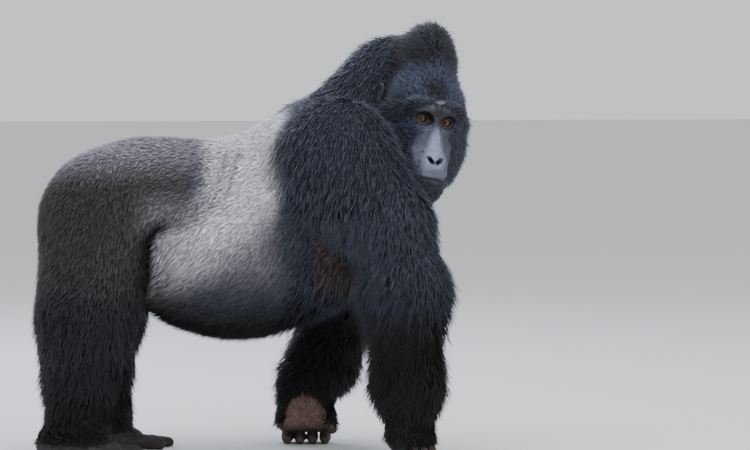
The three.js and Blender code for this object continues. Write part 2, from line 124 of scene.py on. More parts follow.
def rod(points, start, end, radius_1, radius_2, wide=1.0):
    """A tapered rod with round ends, widened across Y."""
    squeeze = np.array([1, 1 / wide, 1])
    start, along = np.array(start) * squeeze, (np.array(end, float) - start) * squeeze
    offset = points * squeeze - start
    share = np.clip(offset @ along / (along @ along), 0, 1)
    return length(offset - share[:, None] * along) - (radius_1 + (radius_2 - radius_1) * share)


FAR = 1000.0  # a field's value where it isn't looked at


def where_near(points, centre, reach, shape, *rest):
    """A shape's field at the points in a box round it, and a large value at the others."""
    field = np.full(len(points), FAR)
    near = np.flatnonzero(np.all(np.abs(points - centre) < reach, axis=1))
    field[near] = shape(points[near], *rest)
    return field


def smooth_min(a, b, k):
    h = np.maximum(k - np.abs(a - b), 0) / k
    return np.minimum(a, b) - h * h * k / 4


def blend(k, *fields):
    least = fields[0]
    for field in fields[1:]:
        least = smooth_min(least, field, k)
    return least


def carve(k, field, tool):
    return -smooth_min(-field, tool, k)


def smooth_step(value, low, high):
    share = np.clip((value - low) / (high - low), 0, 1)
    return share * share * (3 - 2 * share)


def band(value, low, high, soft):
    """1 between two places, falling to 0 over a soft edge outside them."""
    return smooth_step(value, low - soft, low) * (1 - smooth_step(value, high, high + soft))


def frame_at(place, degrees, across_y):
    """A place turned about Z, with its Y axis kept or mirrored."""
    turn = Matrix.Rotation(math.radians(degrees), 4, "Z")
    return Matrix.Translation(place) @ turn @ Matrix.Diagonal((1, across_y, 1, 1))


HEAD = (
    Matrix.Translation(EYES_AT)
    @ Matrix.Rotation(math.radians(HEAD_YAW), 4, "Z")
    @ Matrix.Rotation(math.radians(HEAD_PITCH), 4, "Y")
    @ Matrix.Rotation(math.radians(-HEAD_ROLL), 4, "X")
)
HANDS = {side: frame_at(ARMS[side]["wrist"], -side * HAND_TURN[side], -side) for side in SIDES}
FEET = {side: frame_at((*LEGS[side]["ankle"][:2], 0), side * FOOT_TURN, side) for side in SIDES}


def moved(points, matrix):
    matrix = np.array(matrix)
    return points @ matrix[:3, :3].T + matrix[:3, 3]


def local(points, matrix):
    return moved(points, matrix.inverted())


def put(matrix, *place):
    return np.array(matrix @ Vector(place))


# ---- the outline out to the tips of the coat -----------------------------------------------------

def head_shape(points):
    p = local(points, HEAD)
    skull = blend(
        50,
        ellipsoid(p, (-88, 0, 20), (108, 104, 105)),
        ellipsoid(p, (-124, -4, 116), (98, 76, 131)),
        *[ellipsoid(p, (-72, side * 66, -74), (62, 52, 96)) for side in SIDES],
        ellipsoid(p, (-10, 0, -62), (58, 70, 92)),
    )
    brow_ridge = blend(
        20,
        *[rod(p, (16, 0, 30), (6, side * 56, 27), 18, 18) for side in SIDES],
        *[rod(p, (6, side * 56, 27), (-42, side * 84, 2), 18, 22) for side in SIDES],
    )
    muzzle = blend(
        24,
        ellipsoid(p, (30, 0, -124), (57, 52, 42)),
        ellipsoid(p, (24, 0, -167), (54, 49, 42)),
        rod(p, (8, 0, -8), (38, 0, -76), 12, 19),
        *[ellipsoid(p, (44, side * 19, -91), (23, 20, 17)) for side in SIDES],
    )
    return blend(20, skull, brow_ridge, muzzle)


def trunk_shape(points):
    return blend(
        90,
        ellipsoid(points, (-50, 0, 520), (290, 280, 222)),
        ellipsoid(points, (130, 0, 608), (225, 240, 238)),
        ellipsoid(points, (-283, 0, 632), (226, 180, 184)),
        ellipsoid(points, (-200, 0, 568), (150, 222, 178)),
        rod(points, (-120, 0, 660), (150, 0, 698), 118, 160, 1.25),
        rod(points, (140, 0, 736), (272, 10, 775), 118, 130, 1.1),
        *[ellipsoid(points, (196, side * 132, 778), (118, 98, 122)) for side in SIDES],
    )


def neck_shape(points):
    nape = rod(points, (213, 30, 804), (366, 88, 908), 122, 160, 0.68)
    return smooth_min(nape, rod(points, (280, 0, 738), (396, -20, 776), 150, 96), 60)


def shoulder_shape(points, side):
    arm = ARMS[side]
    ball = ellipsoid(points, arm["shoulder"], (150, 110, 158))
    return smooth_min(ball, rod(points, arm["shoulder"], arm["middle"], 118, 99, 0.9), 60)


def arm_shape(points, side, shoulder):
    arm = ARMS[side]
    return blend(
        60, shoulder,
        rod(points, arm["middle"], arm["elbow"], 106, 112, 0.88),
        rod(points, arm["elbow"], arm["cuff"], 128, 98, 0.85),
        rod(points, arm["cuff"], arm["wrist"], 94, 80, 0.8),
    )


def haunch_shape(points, side):
    leg = LEGS[side]
    buttock = ellipsoid(points, (leg["hip"][0] - 4, side * 102, 592), (162, 104, 162))
    return smooth_min(buttock, rod(points, leg["hip"], leg["knee"], 138, 116, 0.82), 60)


def leg_shape(points, side, haunch):
    leg = LEGS[side]
    hip = leg["hip"]
    return blend(
        60, haunch,
        ellipsoid(points, (hip[0] - 62, hip[1] + side * 40, 430), (112, 90, 150)),
        rod(points, leg["knee"], leg["calf"], 112, 98, 0.85),
        rod(points, leg["calf"], leg["ankle"], 98, 90, 0.85),
    )


def palm_shape(points, side):
    hand = HANDS[side]

    def bone(start, end, radius_1, radius_2):
        return rod(points, put(hand, *start), put(hand, *end), radius_1, radius_2)

    across = [(1.5 - order) * KNUCKLES_APART for order in range(4)]
    return blend(
        18,
        *[bone((x * 0.6, -2, -8), (x, -4, 2 - PALM_LENGTH), 30, 24) for x in across],
        bone((30, 10, -22), (42, 14, -62), 25, 19),
        bone((-30, 8, -24), (-38, 8, -80), 23, 17),
        bone((0, 0, 30), (0, 0, -20), 50, 36),
    )


def finger_shape(points, side, order):
    hand, ground = HANDS[side], -ARMS[side]["wrist"][2]
    x, length = (1.5 - order) * KNUCKLES_APART, FINGER_LENGTHS[order]
    joint = put(hand, x, -8 - 30 * length, ground + 12.5)
    upper = rod(points, put(hand, x, -6, 2 - PALM_LENGTH), joint, 15, 13.5)
    return smooth_min(upper, rod(points, joint, put(hand, x, 24 * length, ground + 11.5), 13.5, 11.5), 8)


def thumb_shape(points, side):
    return rod(points, put(HANDS[side], *THUMB_BASE), put(HANDS[side], *THUMB_TIP), *THUMB_RADII)


def sole_shape(points, side):
    foot = FEET[side]

    def pad(start, end, radius_1, radius_2):
        return rod(points, put(foot, *start), put(foot, *end), radius_1, radius_2)

    return blend(
        24,
        pad((-58, 0, 42), (-10, 2, 46), 48, 56),
        pad((-10, 2, 46), (88, 14, 22), 50, 25),
        pad((10, 26, 26), (72, 60, 18), 30, 19),
        pad((0, -16, 30), (86, -18, 22), 34, 24),
        pad((0, 0, 110), (-6, 0, 64), 58, 54),
        pad((8, -22, 26), (46, -50, 22), 31, 24),
    )


def toe_shape(points, side, toe):
    base, tip, radius = TOES[toe]
    knuckle = put(FEET[side], (base[0] + tip[0]) / 2, (base[1] + tip[1]) / 2, radius + 1)
    first = rod(points, put(FEET[side], *base, radius + 3), knuckle, radius - 1, radius - 1.5)
    last = rod(points, knuckle, put(FEET[side], *tip, radius - 4), radius - 1.5, radius - 2.5)
    return smooth_min(first, last, 6)


# ---- regions: where each kind of coat lies, from 0 to 1 ------------------------------------------

def line(value, *steps):
    """A value along straight lines through (place, value) steps."""
    places, values = zip(*steps)
    return np.interp(value, places, values)


def mixed(low, high, share):
    return low + (high - low) * share


def face_regions(p):
    """How bare the face is at points in the head's frame, and how far they lie on the forehead."""
    front = smooth_step(p[:, 0], -34, -8)
    eyes = np.hypot(p[:, 1] / 62, (p[:, 2] - 4) / 36)
    muzzle = np.hypot(p[:, 1] / 62, (p[:, 2] + 88) / 76)
    scar = np.hypot((p[:, 1] - 3) / 18, (p[:, 2] - 47 - 0.2 * p[:, 1]) / 7)
    bare = (1 - smooth_step(smooth_min(eyes, muzzle, 0.5), 0.62, 1.2)) * front
    bare = np.maximum(bare, (1 - smooth_step(scar, 0.6, 1.1)) * front)
    forehead = smooth_step(p[:, 0], -100, -50) * (1 - smooth_step(p[:, 2] + 0.25 * np.abs(p[:, 1]), 118, 150))
    return bare, forehead


def off_path(flat, path):
    """How far flat places are from a path of straight lines."""
    nearest = np.full(len(flat), 1e3)
    for start, end in zip(path, path[1:]):
        along = np.subtract(end, start).astype(float)
        offset = flat - start
        share = np.clip(offset @ along / (along @ along), 0, 1)
        nearest = np.minimum(nearest, length(offset - share[:, None] * along))
    return nearest


class Body:
    """The fields that the whole animal shares, worked out once for a set of points."""

    def __init__(self, points):
        self.points = points
        self.in_head = local(points, HEAD)
        self.head = where_near(points, EYES_AT + (0, 80, 0), (300, 380, 380), head_shape)
        self.trunk = smooth_min(trunk_shape(points), neck_shape(points), 70)
        self.core = smooth_min(self.trunk, self.head, 60)
        self.arms, self.legs, roots = {}, {}, []
        for side in SIDES:
            arm_at, leg_at = (250, side * 240, 500), (-410, side * 150, 430)
            shoulder = where_near(points, arm_at, (330, 240, 600), shoulder_shape, side)
            haunch = where_near(points, leg_at, (330, 260, 520), haunch_shape, side)
            roots += [shoulder, haunch]
            self.arms[side] = arm_shape(points, side, shoulder)
            self.legs[side] = leg_shape(points, side, haunch)
        torso = blend(70, self.core, *roots)
        self.outline = blend(56, torso, *self.arms.values(), *self.legs.values())
        self.on_arm = np.maximum(*[smooth_step(self.core - arm, -40, 50) for arm in self.arms.values()])
        self.on_leg = np.maximum(*[smooth_step(self.core - leg, -40, 50) for leg in self.legs.values()])
        self.on_head = smooth_step(self.trunk - self.head, -30, 40) * (1 - self.on_arm)
        bare, forehead = face_regions(self.in_head)
        self.bare = bare * self.on_head
        self.forehead = forehead * self.on_head

    def coat_depth(self):
        """How deep the coat is over the skin, in millimetres."""
        x, z = self.points[:, 0], self.points[:, 2]
        trunk = line(x, (-500, 20), (-420, 15), (-250, 10), (-60, 8), (60, 9), (170, 17), (260, 20))
        arm = line(z, (120, 14), (160, 20), (215, 32), (300, 37), (430, 31), (560, 25), (720, 19))
        leg = line(z, (60, 9), (110, 15), (235, 25), (350, 21), (450, 14), (600, 10))
        head = line(self.in_head[:, 0], (-180, 8), (-130, 12), (-90, 12), (-40, 8), (0, 4.5), (40, 3))
        head = head * (1 - self.bare)
        trunk = mixed(trunk, 8, smooth_step(z, 880, 960))
        folds = 20 * self.thigh_crease() + 5 * self.saddle_folds()
        depth = mixed(mixed(trunk, leg, self.on_leg) + folds, arm, self.on_arm)
        return mixed(depth, head, self.on_head)

    def saddle_folds(self):
        """Two shallow folds of skin that run down the flank behind the shoulder, painted darker along their
        grooves as shade.
        """
        x, y, z = self.points.T
        front, rear = [
            np.exp(-((x - line(z, (640, low), (780, high))) / 9) ** 2)
            for low, high in ((-96, -44), (-124, -72))
        ]
        return (front + rear) * band(z, 650, 760, 40) * smooth_step(np.abs(y), 60, 120)

    def thigh_crease(self):
        """The fold between the thigh and the flank, that turns forward under the haunch and fades; the coat
        is painted nearly black along it as shade.
        """
        x, y, z = self.points.T
        path = [(-294, 400), (-288, 560), (-262, 588), (-190, 600), (-138, 640)]
        fold = off_path(self.points[:, ::2], path)
        strength = mixed(1, 0.35, smooth_step(x, -275, -215)) * band(z, 400, 660, 60)
        return np.exp(-((fold / 19) ** 2)) * strength * smooth_step(np.abs(y), 60, 120)


# ---- the bare forms of the face, in the head's frame ---------------------------------------------

def crease(p, field, path, width, depth, soft=3.0):
    """A fold pressed into the face along a path of (y, z) places, seen from the front."""
    nearest = off_path(p[:, 1:], path)
    groove = np.maximum(np.maximum(nearest - width / 2, -(field + depth)), -p[:, 0] - 5)
    return carve(soft, field, groove)


def arc(middle, radii, start, end, steps=6):
    """A path of (y, z) places on an ellipse, from one angle to another in degrees."""
    return [
        (middle[0] + radii[0] * math.cos(math.radians(a)), middle[1] + radii[1] * math.sin(math.radians(a)))
        for a in np.linspace(start, end, steps + 1)
    ]


NOSTRIL = ((8.5, -102.5), (16.5, -93.5))  # (y, z) of its inner and outer ends


def mouth_line(y):
    """How high the mouth's line is: level in the middle, its corners drawn down."""
    return -145 - 0.0028 * y * y


def with_sockets(p, field):
    """The face with its sockets, the balls under the lids and the rims of the nostrils."""
    for side in SIDES:
        eye = np.array((0, side * PUPILS_APART / 2, 0))
        field = carve(9, field, ellipsoid(p, eye + (34, 0, -1), (30, 23, 15)))
        field = smooth_min(field, ellipsoid(p, eye + (0.6, 0, 0), (16.4, 16.4, 16.4)), 4)
        rim = rod(p, (60, side * 5, -86), (54, side * 24, -91), 7, 7)
        rim = smooth_min(rim, rod(p, (54, side * 24, -91), (50, side * 26, -103), 7, 5), 5)
        field = smooth_min(field, rim, 7)
    return field


def with_features(p, field):
    """The face with its eye openings, nostrils, lips and folds."""
    for side in SIDES:
        flat = p * (0.35, 1, 1)
        opening = ellipsoid(flat, (0.35 * 14, side * PUPILS_APART / 2, 0.6), (14, 13.2, 7.0))
        field = carve(1.2, field, np.maximum(opening, 6 - p[:, 0]))
        inner, outer = ((0.35 * x, side * y, z) for x, (y, z) in zip((69, 65), NOSTRIL))
        field = carve(2.5, field, rod(flat, inner, outer, 4.4, 5.6))
    y = p[:, 1]
    lips = np.abs(p[:, 2] - mouth_line(y))
    pout = np.maximum(0, 1 - (lips / 13) ** 2) * (1 - smooth_step(np.abs(y), 26, 46))
    pout = pout * smooth_step(p[:, 0], 10, 40)
    field = field - 2.6 * pout
    slit = np.maximum(np.maximum(lips - 0.9, np.abs(y) - 45), np.maximum(-(field + 9), 20 - p[:, 0]))
    field = carve(2.5, field, slit)
    for side in SIDES:
        eye_y = side * PUPILS_APART / 2
        field = crease(p, field, [(side * 31, -84), (side * 41, -100), (side * 45, -122)], 3.5, 3.0, 6)
        for fold, (wide, tall) in enumerate([(19, 16), (25, 25)]):
            field = crease(p, field, arc((eye_y, 0), (wide, tall), -150, -30), 2.4, 2.2 - 0.6 * fold, 5)
        field = crease(p, field, arc((eye_y, 2), (17, 13), 20, 160), 2.2, 2.4, 5)
        field = crease(p, field, [(side * 6, 10), (side * 8, 26), (side * 7, 40)], 3, 2.4, 6)
        field = crease(p, field, [(side * 12, -18), (side * 17, -40), (side * 17, -60)], 3.5, 2.2, 6)
    return crease(p, field, [(0, -100), (0, -114)], 3.0, 2.2, 5)


# ---- the skin ------------------------------------------------------------------------------------

def ear_places():
    return {side: middle_of(f"ear_{SIDE_NAMES[side]}") - SHIFT for side in SIDES}


EARS = {side: local(place[None], HEAD)[0] for side, place in ear_places().items()}


def with_ears(p, field):
    for side, place in EARS.items():
        x, y, z = place
        y = y - side * 3
        shell = ellipsoid(p, (x, y, z), (17, 8, 27))
        bowl = ellipsoid(p, (x + 5, y + side * 7, z + 1), (11, 8, 19))
        lobe = rod(p, (x + 6, y, z - 20), (x + 12, y - side * 4, z - 26), 6, 5)
        field = smooth_min(field, carve(3, smooth_min(shell, lobe, 6), bowl), 7)
    return field


def with_hand(points, field, side):
    field = smooth_min(field, palm_shape(points, side), 20)
    digits = [finger_shape(points, side, order) for order in range(4)] + [thumb_shape(points, side)]
    return np.minimum.reduce([smooth_min(field, digit, 7) for digit in digits])


def with_foot(points, field, side):
    field = smooth_min(field, sole_shape(points, side), 20)
    return np.minimum.reduce([smooth_min(field, toe_shape(points, side, toe), 6) for toe in TOES])


def plain_skin_field(points):
    """The outline less its coat, with hands, feet, ears and sockets, without the face's small features."""
    body = Body(points)
    field = body.outline + body.coat_depth()
    for side in SIDES:
        ends = ((with_hand, put(HANDS[side], 0, 0, -70), (130, 130, 130)),
                (with_foot, put(FEET[side], 50, 0, 50), (210, 190, 140)))
        for with_end, middle, reach in ends:
            near = np.flatnonzero(np.all(np.abs(points - middle) < reach, axis=1))
            field[near] = with_end(points[near], field[near], side)
    head = np.flatnonzero(body.on_head > 0.01)
    field[head] = with_sockets(body.in_head[head], with_ears(body.in_head[head], field[head]))
    return carve(3, field, points[:, 2])


def skin_field(points):
    """The skin as a distance, with the folds and openings of the face."""
    field = plain_skin_field(points)
    p = local(points, HEAD)
    face = np.flatnonzero((p[:, 0] > -30) & (np.abs(p[:, 1]) < 80) & (np.abs(p[:, 2] + 60) < 160))
    field[face] = with_features(p[face], field[face])
    return field


def in_blocks(field, points, block=12_000):
    """A field's values, worked out in blocks side by side."""
    with ThreadPoolExecutor() as pool:
        blocks = [points[i:i + block] for i in range(0, len(points), block)]
        return np.concatenate(list(pool.map(field, blocks)))


CORNERS = np.array([(n & 1, n >> 1 & 1, n >> 2 & 1) for n in range(8)])
EDGES = [(a, a | bit) for a in range(8) for bit in (1, 2, 4) if not a & bit]


def net_on(field, low, high, cell, doublings=3):
    """A closed net of quads on a field's surface: one vertex in each small cell that the surface crosses.
    Cells near the surface are found on wide cells first, halved that many times."""
    wide = cell * 2**doublings
    count = np.ceil((np.array(high) - low) / wide).astype(int)
    nodes = np.argwhere(np.ones(count + 1, bool))
    values = in_blocks(field, low + nodes * wide).reshape(count + 1).astype(np.float32)
    for _ in range(doublings):
        near = np.zeros(count, bool)
        for a, b, c in CORNERS:
            near |= np.abs(values[a:count[0] + a, b:count[1] + b, c:count[2] + c]) < 1.25 * wide
        coarse = (near, values[:-1, :-1, :-1])
        near, values = (array.repeat(2, 0).repeat(2, 1).repeat(2, 2) for array in coarse)
        near, values = np.pad(near, ((0, 1),) * 3), np.pad(values, ((0, 1),) * 3, mode="edge")
        for axis in range(3):
            near |= np.roll(near, 1, axis)
        wide, count = wide / 2, count * 2
        values[near] = in_blocks(field, low + np.argwhere(near) * wide)
    values[values == 0] = 1e-6

    inside = values < 0
    shape = np.array(values.shape) - 1
    corners_inside = sum(
        inside[a:shape[0] + a, b:shape[1] + b, c:shape[2] + c].astype(np.int8) for a, b, c in CORNERS
    )
    cells = np.argwhere((corners_inside > 0) & (corners_inside < 8))
    number = np.full(shape, -1, np.int32)
    number[tuple(cells.T)] = np.arange(len(cells))
    total, crossings = np.zeros((len(cells), 3)), np.zeros(len(cells))
    for a, b in EDGES:
        value_a, value_b = values[tuple((cells + CORNERS[a]).T)], values[tuple((cells + CORNERS[b]).T)]
        crossed = (value_a < 0) != (value_b < 0)
        share = np.where(crossed, value_a / np.where(crossed, value_a - value_b, 1), 0)[:, None]
        total += crossed[:, None] * (CORNERS[a] + share * (CORNERS[b] - CORNERS[a]))
        crossings += crossed
    vertices = low + (cells + total / crossings[:, None]) * cell

    quads = []
    for axis in range(3):
        first, second = (np.moveaxis(inside, axis, 0)[part] for part in (slice(0, -1), slice(1, None)))
        first, second = (np.moveaxis(part, 0, axis) for part in (first, second))
        across, up = (np.eye(3, dtype=int)[(axis + n) % 3] for n in (1, 2))
        for crossed, leaving in ((first & ~second, True), (~first & second, False)):
            at = np.argwhere(crossed)
            ring = [at, at - across, at - across - up, at - up]
            quad = np.stack([number[tuple(place.T)] for place in ring], axis=1)
            quads.append(quad if leaving else quad[:, ::-1])
    return vertices, np.concatenate(quads)


def mesh_from(name, vertices, polygons):
    """A mesh from places and equal-sided polygons, both arrays."""
    mesh = bpy.data.meshes.new(name)
    sides = polygons.shape[1]
    mesh.vertices.add(len(vertices))
    mesh.vertices.foreach_set("co", np.asarray(vertices, np.float32).ravel())
    mesh.loops.add(polygons.size)
    mesh.loops.foreach_set("vertex_index", polygons.astype(np.int32).ravel())
    mesh.polygons.add(len(polygons))
    mesh.polygons.foreach_set("loop_start", np.arange(0, polygons.size, sides, dtype=np.int32))
    mesh.update(calc_edges=True)
    mesh.validate()
    return mesh


def relaxed(vertices, edges, passes, share=0.5):
    """Vertices moved part of the way to the middle of their neighbours."""
    count = np.bincount(edges.ravel(), minlength=len(vertices))[:, None]
    for _ in range(passes):
        total = np.stack([
            np.bincount(edges[:, 0], vertices[edges[:, 1], axis], len(vertices))
            + np.bincount(edges[:, 1], vertices[edges[:, 0], axis], len(vertices))
            for axis in range(3)
        ], axis=1)
        vertices = vertices + share * (total / count - vertices)
    return vertices


def settled(field, vertices, passes, step=0.4, furthest=2.0):
    """Vertices moved along the field's slope onto its surface."""
    for _ in range(passes):
        value = in_blocks(field, vertices)
        rises = [in_blocks(field, vertices + offset) - value for offset in np.eye(3) * step]
        slope = np.stack(rises, axis=1) / step
        steepness = np.maximum(np.einsum("ij,ij->i", slope, slope), 0.2)
        move = -(value / steepness)[:, None] * slope
        size = np.maximum(length(move), 1e-9)[:, None]
        vertices = vertices + move * np.minimum(1, furthest / size)
    return vertices


def read_all(items, key, width=1, kind=np.float32):
    """One property of everything in a mesh's list."""
    values = np.empty(len(items) * width, kind)
    items.foreach_get(key, values)
    return values.reshape(-1, width) if width > 1 else values


def edge_list(mesh):
    return read_all(mesh.edges, "vertices", 2, np.int32)


def vertex_places(mesh):
    """A mesh's vertices in millimetres, in the drawing's frame."""
    return read_all(mesh.vertices, "co", 3).astype(float) / MM - SHIFT


def move_vertices(mesh, places):
    mesh.vertices.foreach_set("co", ((places + SHIFT) * MM).astype(np.float32).ravel())
    mesh.update()


def linked(name, mesh):
    piece = bpy.data.objects.new(name, mesh)
    bpy.context.scene.collection.objects.link(piece)
    return piece


def settled_mesh(piece):
    """The plain mesh that a piece's modifiers give, which takes their place."""
    evaluated = piece.evaluated_get(bpy.context.evaluated_depsgraph_get())
    mesh = bpy.data.meshes.new_from_object(evaluated)
    piece.modifiers.clear()
    piece.data = mesh
    return mesh


def bare_places(points):
    """Where the skin shows and its net stays fine: face, hands and feet."""
    p = local(points, HEAD)
    face = (p[:, 0] > -60) & (np.abs(p[:, 1]) < 92) & (p[:, 2] > -215) & (p[:, 2] < 62)
    ears = np.zeros(len(points), bool)
    for place in EARS.values():
        ears |= length(p - place) < 48
    return face | ears | (points[:, 2] < 112)


def refine(piece, chosen):
    """Every edge whose two ends are chosen is cut in two, and the faces with it."""
    shape = bmesh.new()
    shape.from_mesh(piece.data)
    edges = [edge for edge in shape.edges if chosen[edge.verts[0].index] and chosen[edge.verts[1].index]]
    bmesh.ops.subdivide_edges(shape, edges=edges, cuts=1, use_grid_fill=True)
    shape.to_mesh(piece.data)
    shape.free()


def opened(places):
    """The skin's vertices in the eye openings and nostrils, pressed back to where those end."""
    p = local(places, HEAD)
    for side in SIDES:
        opening = np.hypot((p[:, 1] - side * PUPILS_APART / 2) / 13.2, (p[:, 2] - 0.6) / 7.2)
        p[(opening < 1) & (p[:, 0] > 6) & (p[:, 0] < 40), 0] = 6
        nostril = off_path(p[:, 1:], [(side * y, z) for y, z in NOSTRIL]) < 4.6
        p[nostril & (p[:, 0] > 40), 0] -= 9
    return moved(p, HEAD)


SKIN_CELL = 5.0  # millimetres
SKIN_TRIANGLES = 84_000  # before the face is refined


def make_skin():
    low, high = (np.array(corner) / MM - SHIFT + margin for corner, margin in zip(cad_box, (-12, 12)))
    vertices, quads = net_on(plain_skin_field, low, high, SKIN_CELL)
    piece = linked("skin", mesh_from("skin", (vertices + SHIFT) * MM, quads))
    smoothed = relaxed(vertices, edge_list(piece.data), 2)
    move_vertices(piece.data, settled(plain_skin_field, smoothed, 1))
    on_body = piece.vertex_groups.new(name="under_the_coat")
    on_body.add(np.flatnonzero(~bare_places(vertices)).tolist(), 1.0, "REPLACE")
    thin = piece.modifiers.new("fewer faces under the coat", "DECIMATE")
    thin.vertex_group = "under_the_coat"
    thin.ratio = min(1, SKIN_TRIANGLES / (2 * len(quads)))
    settled_mesh(piece)
    piece.vertex_groups.clear()
    for half_width, low_z, high_z in ((92, -212, 58), (62, -190, 42)):
        places = vertex_places(piece.data)
        p = local(places, HEAD)
        chosen = (p[:, 0] > -42) & (np.abs(p[:, 1]) < half_width) & (p[:, 2] > low_z) & (p[:, 2] < high_z)
        refine(piece, chosen)
    places = vertex_places(piece.data)
    fine = np.flatnonzero(bare_places(places))
    edges = edge_list(piece.data)
    for _ in range(3):
        places[fine] = settled(skin_field, places[fine], 1, furthest=3.0)
    places[fine] = opened(places[fine])
    for _ in range(3):
        places[fine] = settled(skin_field, places[fine], 1, furthest=3.0)
        places[fine] = relaxed(places, edges, 1, 0.35)[fine]
    places[fine] = settled(skin_field, opened(places[fine]), 2, furthest=1.0)
    move_vertices(piece.data, places)
    piece.data.shade_smooth()
    return piece


skin = make_skin()


# ---- colours and the lie of the coat, by place ---------------------------------------------------

def linear(colour):
    """An sRGB hex colour as linear red, green and blue."""
    channels = [int(colour[place:place + 2], 16) / 255 for place in (1, 3, 5)]
    return np.array([c / 12.92 if c <= 0.04045 else ((c + 0.055) / 1.055) ** 2.4 for c in channels])


# Black hair, made paler and bluer by a painted sheen of the sky.
BLACK_HAIR_AND_SKY_SHEEN = linear("#3b3e4c")
LEG_HAIR = linear("#26252c")
FOREARM_HAIR = linear("#0b0b0c")
CROWN_HAIR = linear("#191a22")
# A painted sheen: a paler blue-grey band across the forehead's short hair.
FOREHEAD_HAIR_SHEEN = linear("#3a3f55")
BROW_SHADOW = linear("#0d0e13")
SILVER_HAIR = linear("#e6e3e8")
# Grey hair on the flank below the saddle; the same grey is painted along the saddle's fold grooves as shade.
FLANK_GREY_AND_FOLD_SHADE = linear("#8a848a")
# Painted shade: nearly black in the crease between thigh and flank and under the haunch.
THIGH_CREASE_SHADE = linear("#070607")
BROWN_HAIR = linear("#3d3635")
# Grey on the top of the rump: partly grizzled hair, partly a painted sheen of the sky on the upward-facing
# hair.
RUMP_GREY_AND_SKY_SHEEN = linear("#938b97")
ARMPIT_SKIN = linear("#5a4c44")
SLATE_SKIN = linear("#3a3e4a")
CHEEK_HAIR = linear("#343c4e")
EAR_SKIN = linear("#2f2f36")
# A painted sheen: pale blue-grey where the oily skin of the nose and upper lip reflects the sky.
NOSE_SKY_SHEEN = linear("#7d859b")
# Dark skin round and between the eyes, deepened by painted shade in the sockets under the brow and in the
# nostrils.
DARK_SKIN_AND_HOLLOW_SHADE = linear("#1d1b1b")
LIP_SKIN = linear("#2b272b")
LID_SKIN = linear("#4d4442")
SCAR_SKIN = linear("#5c5860")
KNUCKLE_SKIN = linear("#453c3a")
PALM_SKIN = linear("#776058")
FOOT_SKIN = linear("#3a3434")


def tinted(colours, tint, share):
    return mixed(colours, tint, share[:, None])


def layered(colours, *layers):
    """Tints laid over one another, each with its share at every point."""
    for tint, share in layers:
        colours = tinted(colours, tint, share)
    return colours


def saddle_share(points):
    """How silver the coat is: a saddle with a sharp front edge that fades towards the rump and the belly."""
    x, z = points[:, 0], points[:, 2]
    front = 1 - smooth_step(x - 0.2 * (z - 825), 58, 96)
    haunch = line(z, (560, -288), (588, -262), (606, -212), (640, -172), (700, -142), (760, -140))
    rear = smooth_step(x - haunch, -25, 45) * mixed(0.5, 1, smooth_step(x, -260, -110))
    lower = smooth_step(z - 0.7 * (x - 20), 535, 690)
    return front * rear * lower


def coat_colours(body):
    x, z = body.points[:, 0], body.points[:, 2]
    p = body.in_head
    flank = band(x + 0.42 * (z - 640), -290, -60, 80)
    flank = flank * smooth_step(z, 400, 540) * (1 - smooth_step(z, 600, 720))
    armpit = band(x, 165, 250, 45) * band(z, 470, 610, 60) * (1 - body.on_arm) * (1 - body.on_head)
    under = (1 - smooth_step(z, 340, 440)) * band(x, -280, 160, 60) * (1 - body.on_leg)
    cheek = smooth_step(p[:, 0], -110, -50) * smooth_step(-p[:, 2], -30, 10)
    cheek = cheek * band(p[:, 2], -150, 200, 30) * body.on_head
    shadow = 1 - smooth_step(np.hypot((p[:, 1] + 6) / 30, (p[:, 2] - 74) / 24), 0.5, 1.3)
    return layered(
        # black hair with its painted bluish sheen
        np.tile(BLACK_HAIR_AND_SKY_SHEEN, (len(x), 1)),
        (BROWN_HAIR, 1 - smooth_step(x, -215, -150)),
        # grizzled grey with a painted sky sheen on the top of the rump
        (RUMP_GREY_AND_SKY_SHEEN, (1 - smooth_step(x, -190, -110)) * smooth_step(z, 685, 790)),
        (FLANK_GREY_AND_FOLD_SHADE, 0.9 * flank * (1 - body.on_leg)),
        (SILVER_HAIR, saddle_share(body.points) * (1 - body.on_arm)),
        (ARMPIT_SKIN, 0.7 * armpit),
        # painted shade in the grooves of the saddle's folds
        (FLANK_GREY_AND_FOLD_SHADE, 0.55 * body.saddle_folds()),
        # painted shade in the thigh crease
        (THIGH_CREASE_SHADE, np.minimum(1, 1.3 * body.thigh_crease())),
        (FOREARM_HAIR, under),
        (LEG_HAIR, body.on_leg * (1 - smooth_step(z, 380, 520))),
        (FOREARM_HAIR, body.on_leg * (1 - smooth_step(z, 120, 300))),
        (FOREARM_HAIR, body.on_arm * (1 - smooth_step(z, 330, 520))),
        (CROWN_HAIR, body.on_head),
        (CHEEK_HAIR, 0.85 * cheek),
        # painted sheen on the forehead's short hair
        (FOREHEAD_HAIR_SHEEN, 0.9 * body.forehead * smooth_step(p[:, 2], 18, 62)),
        (BROW_SHADOW, 0.95 * shadow * smooth_step(p[:, 0], -80, -50) * body.on_head),
    )


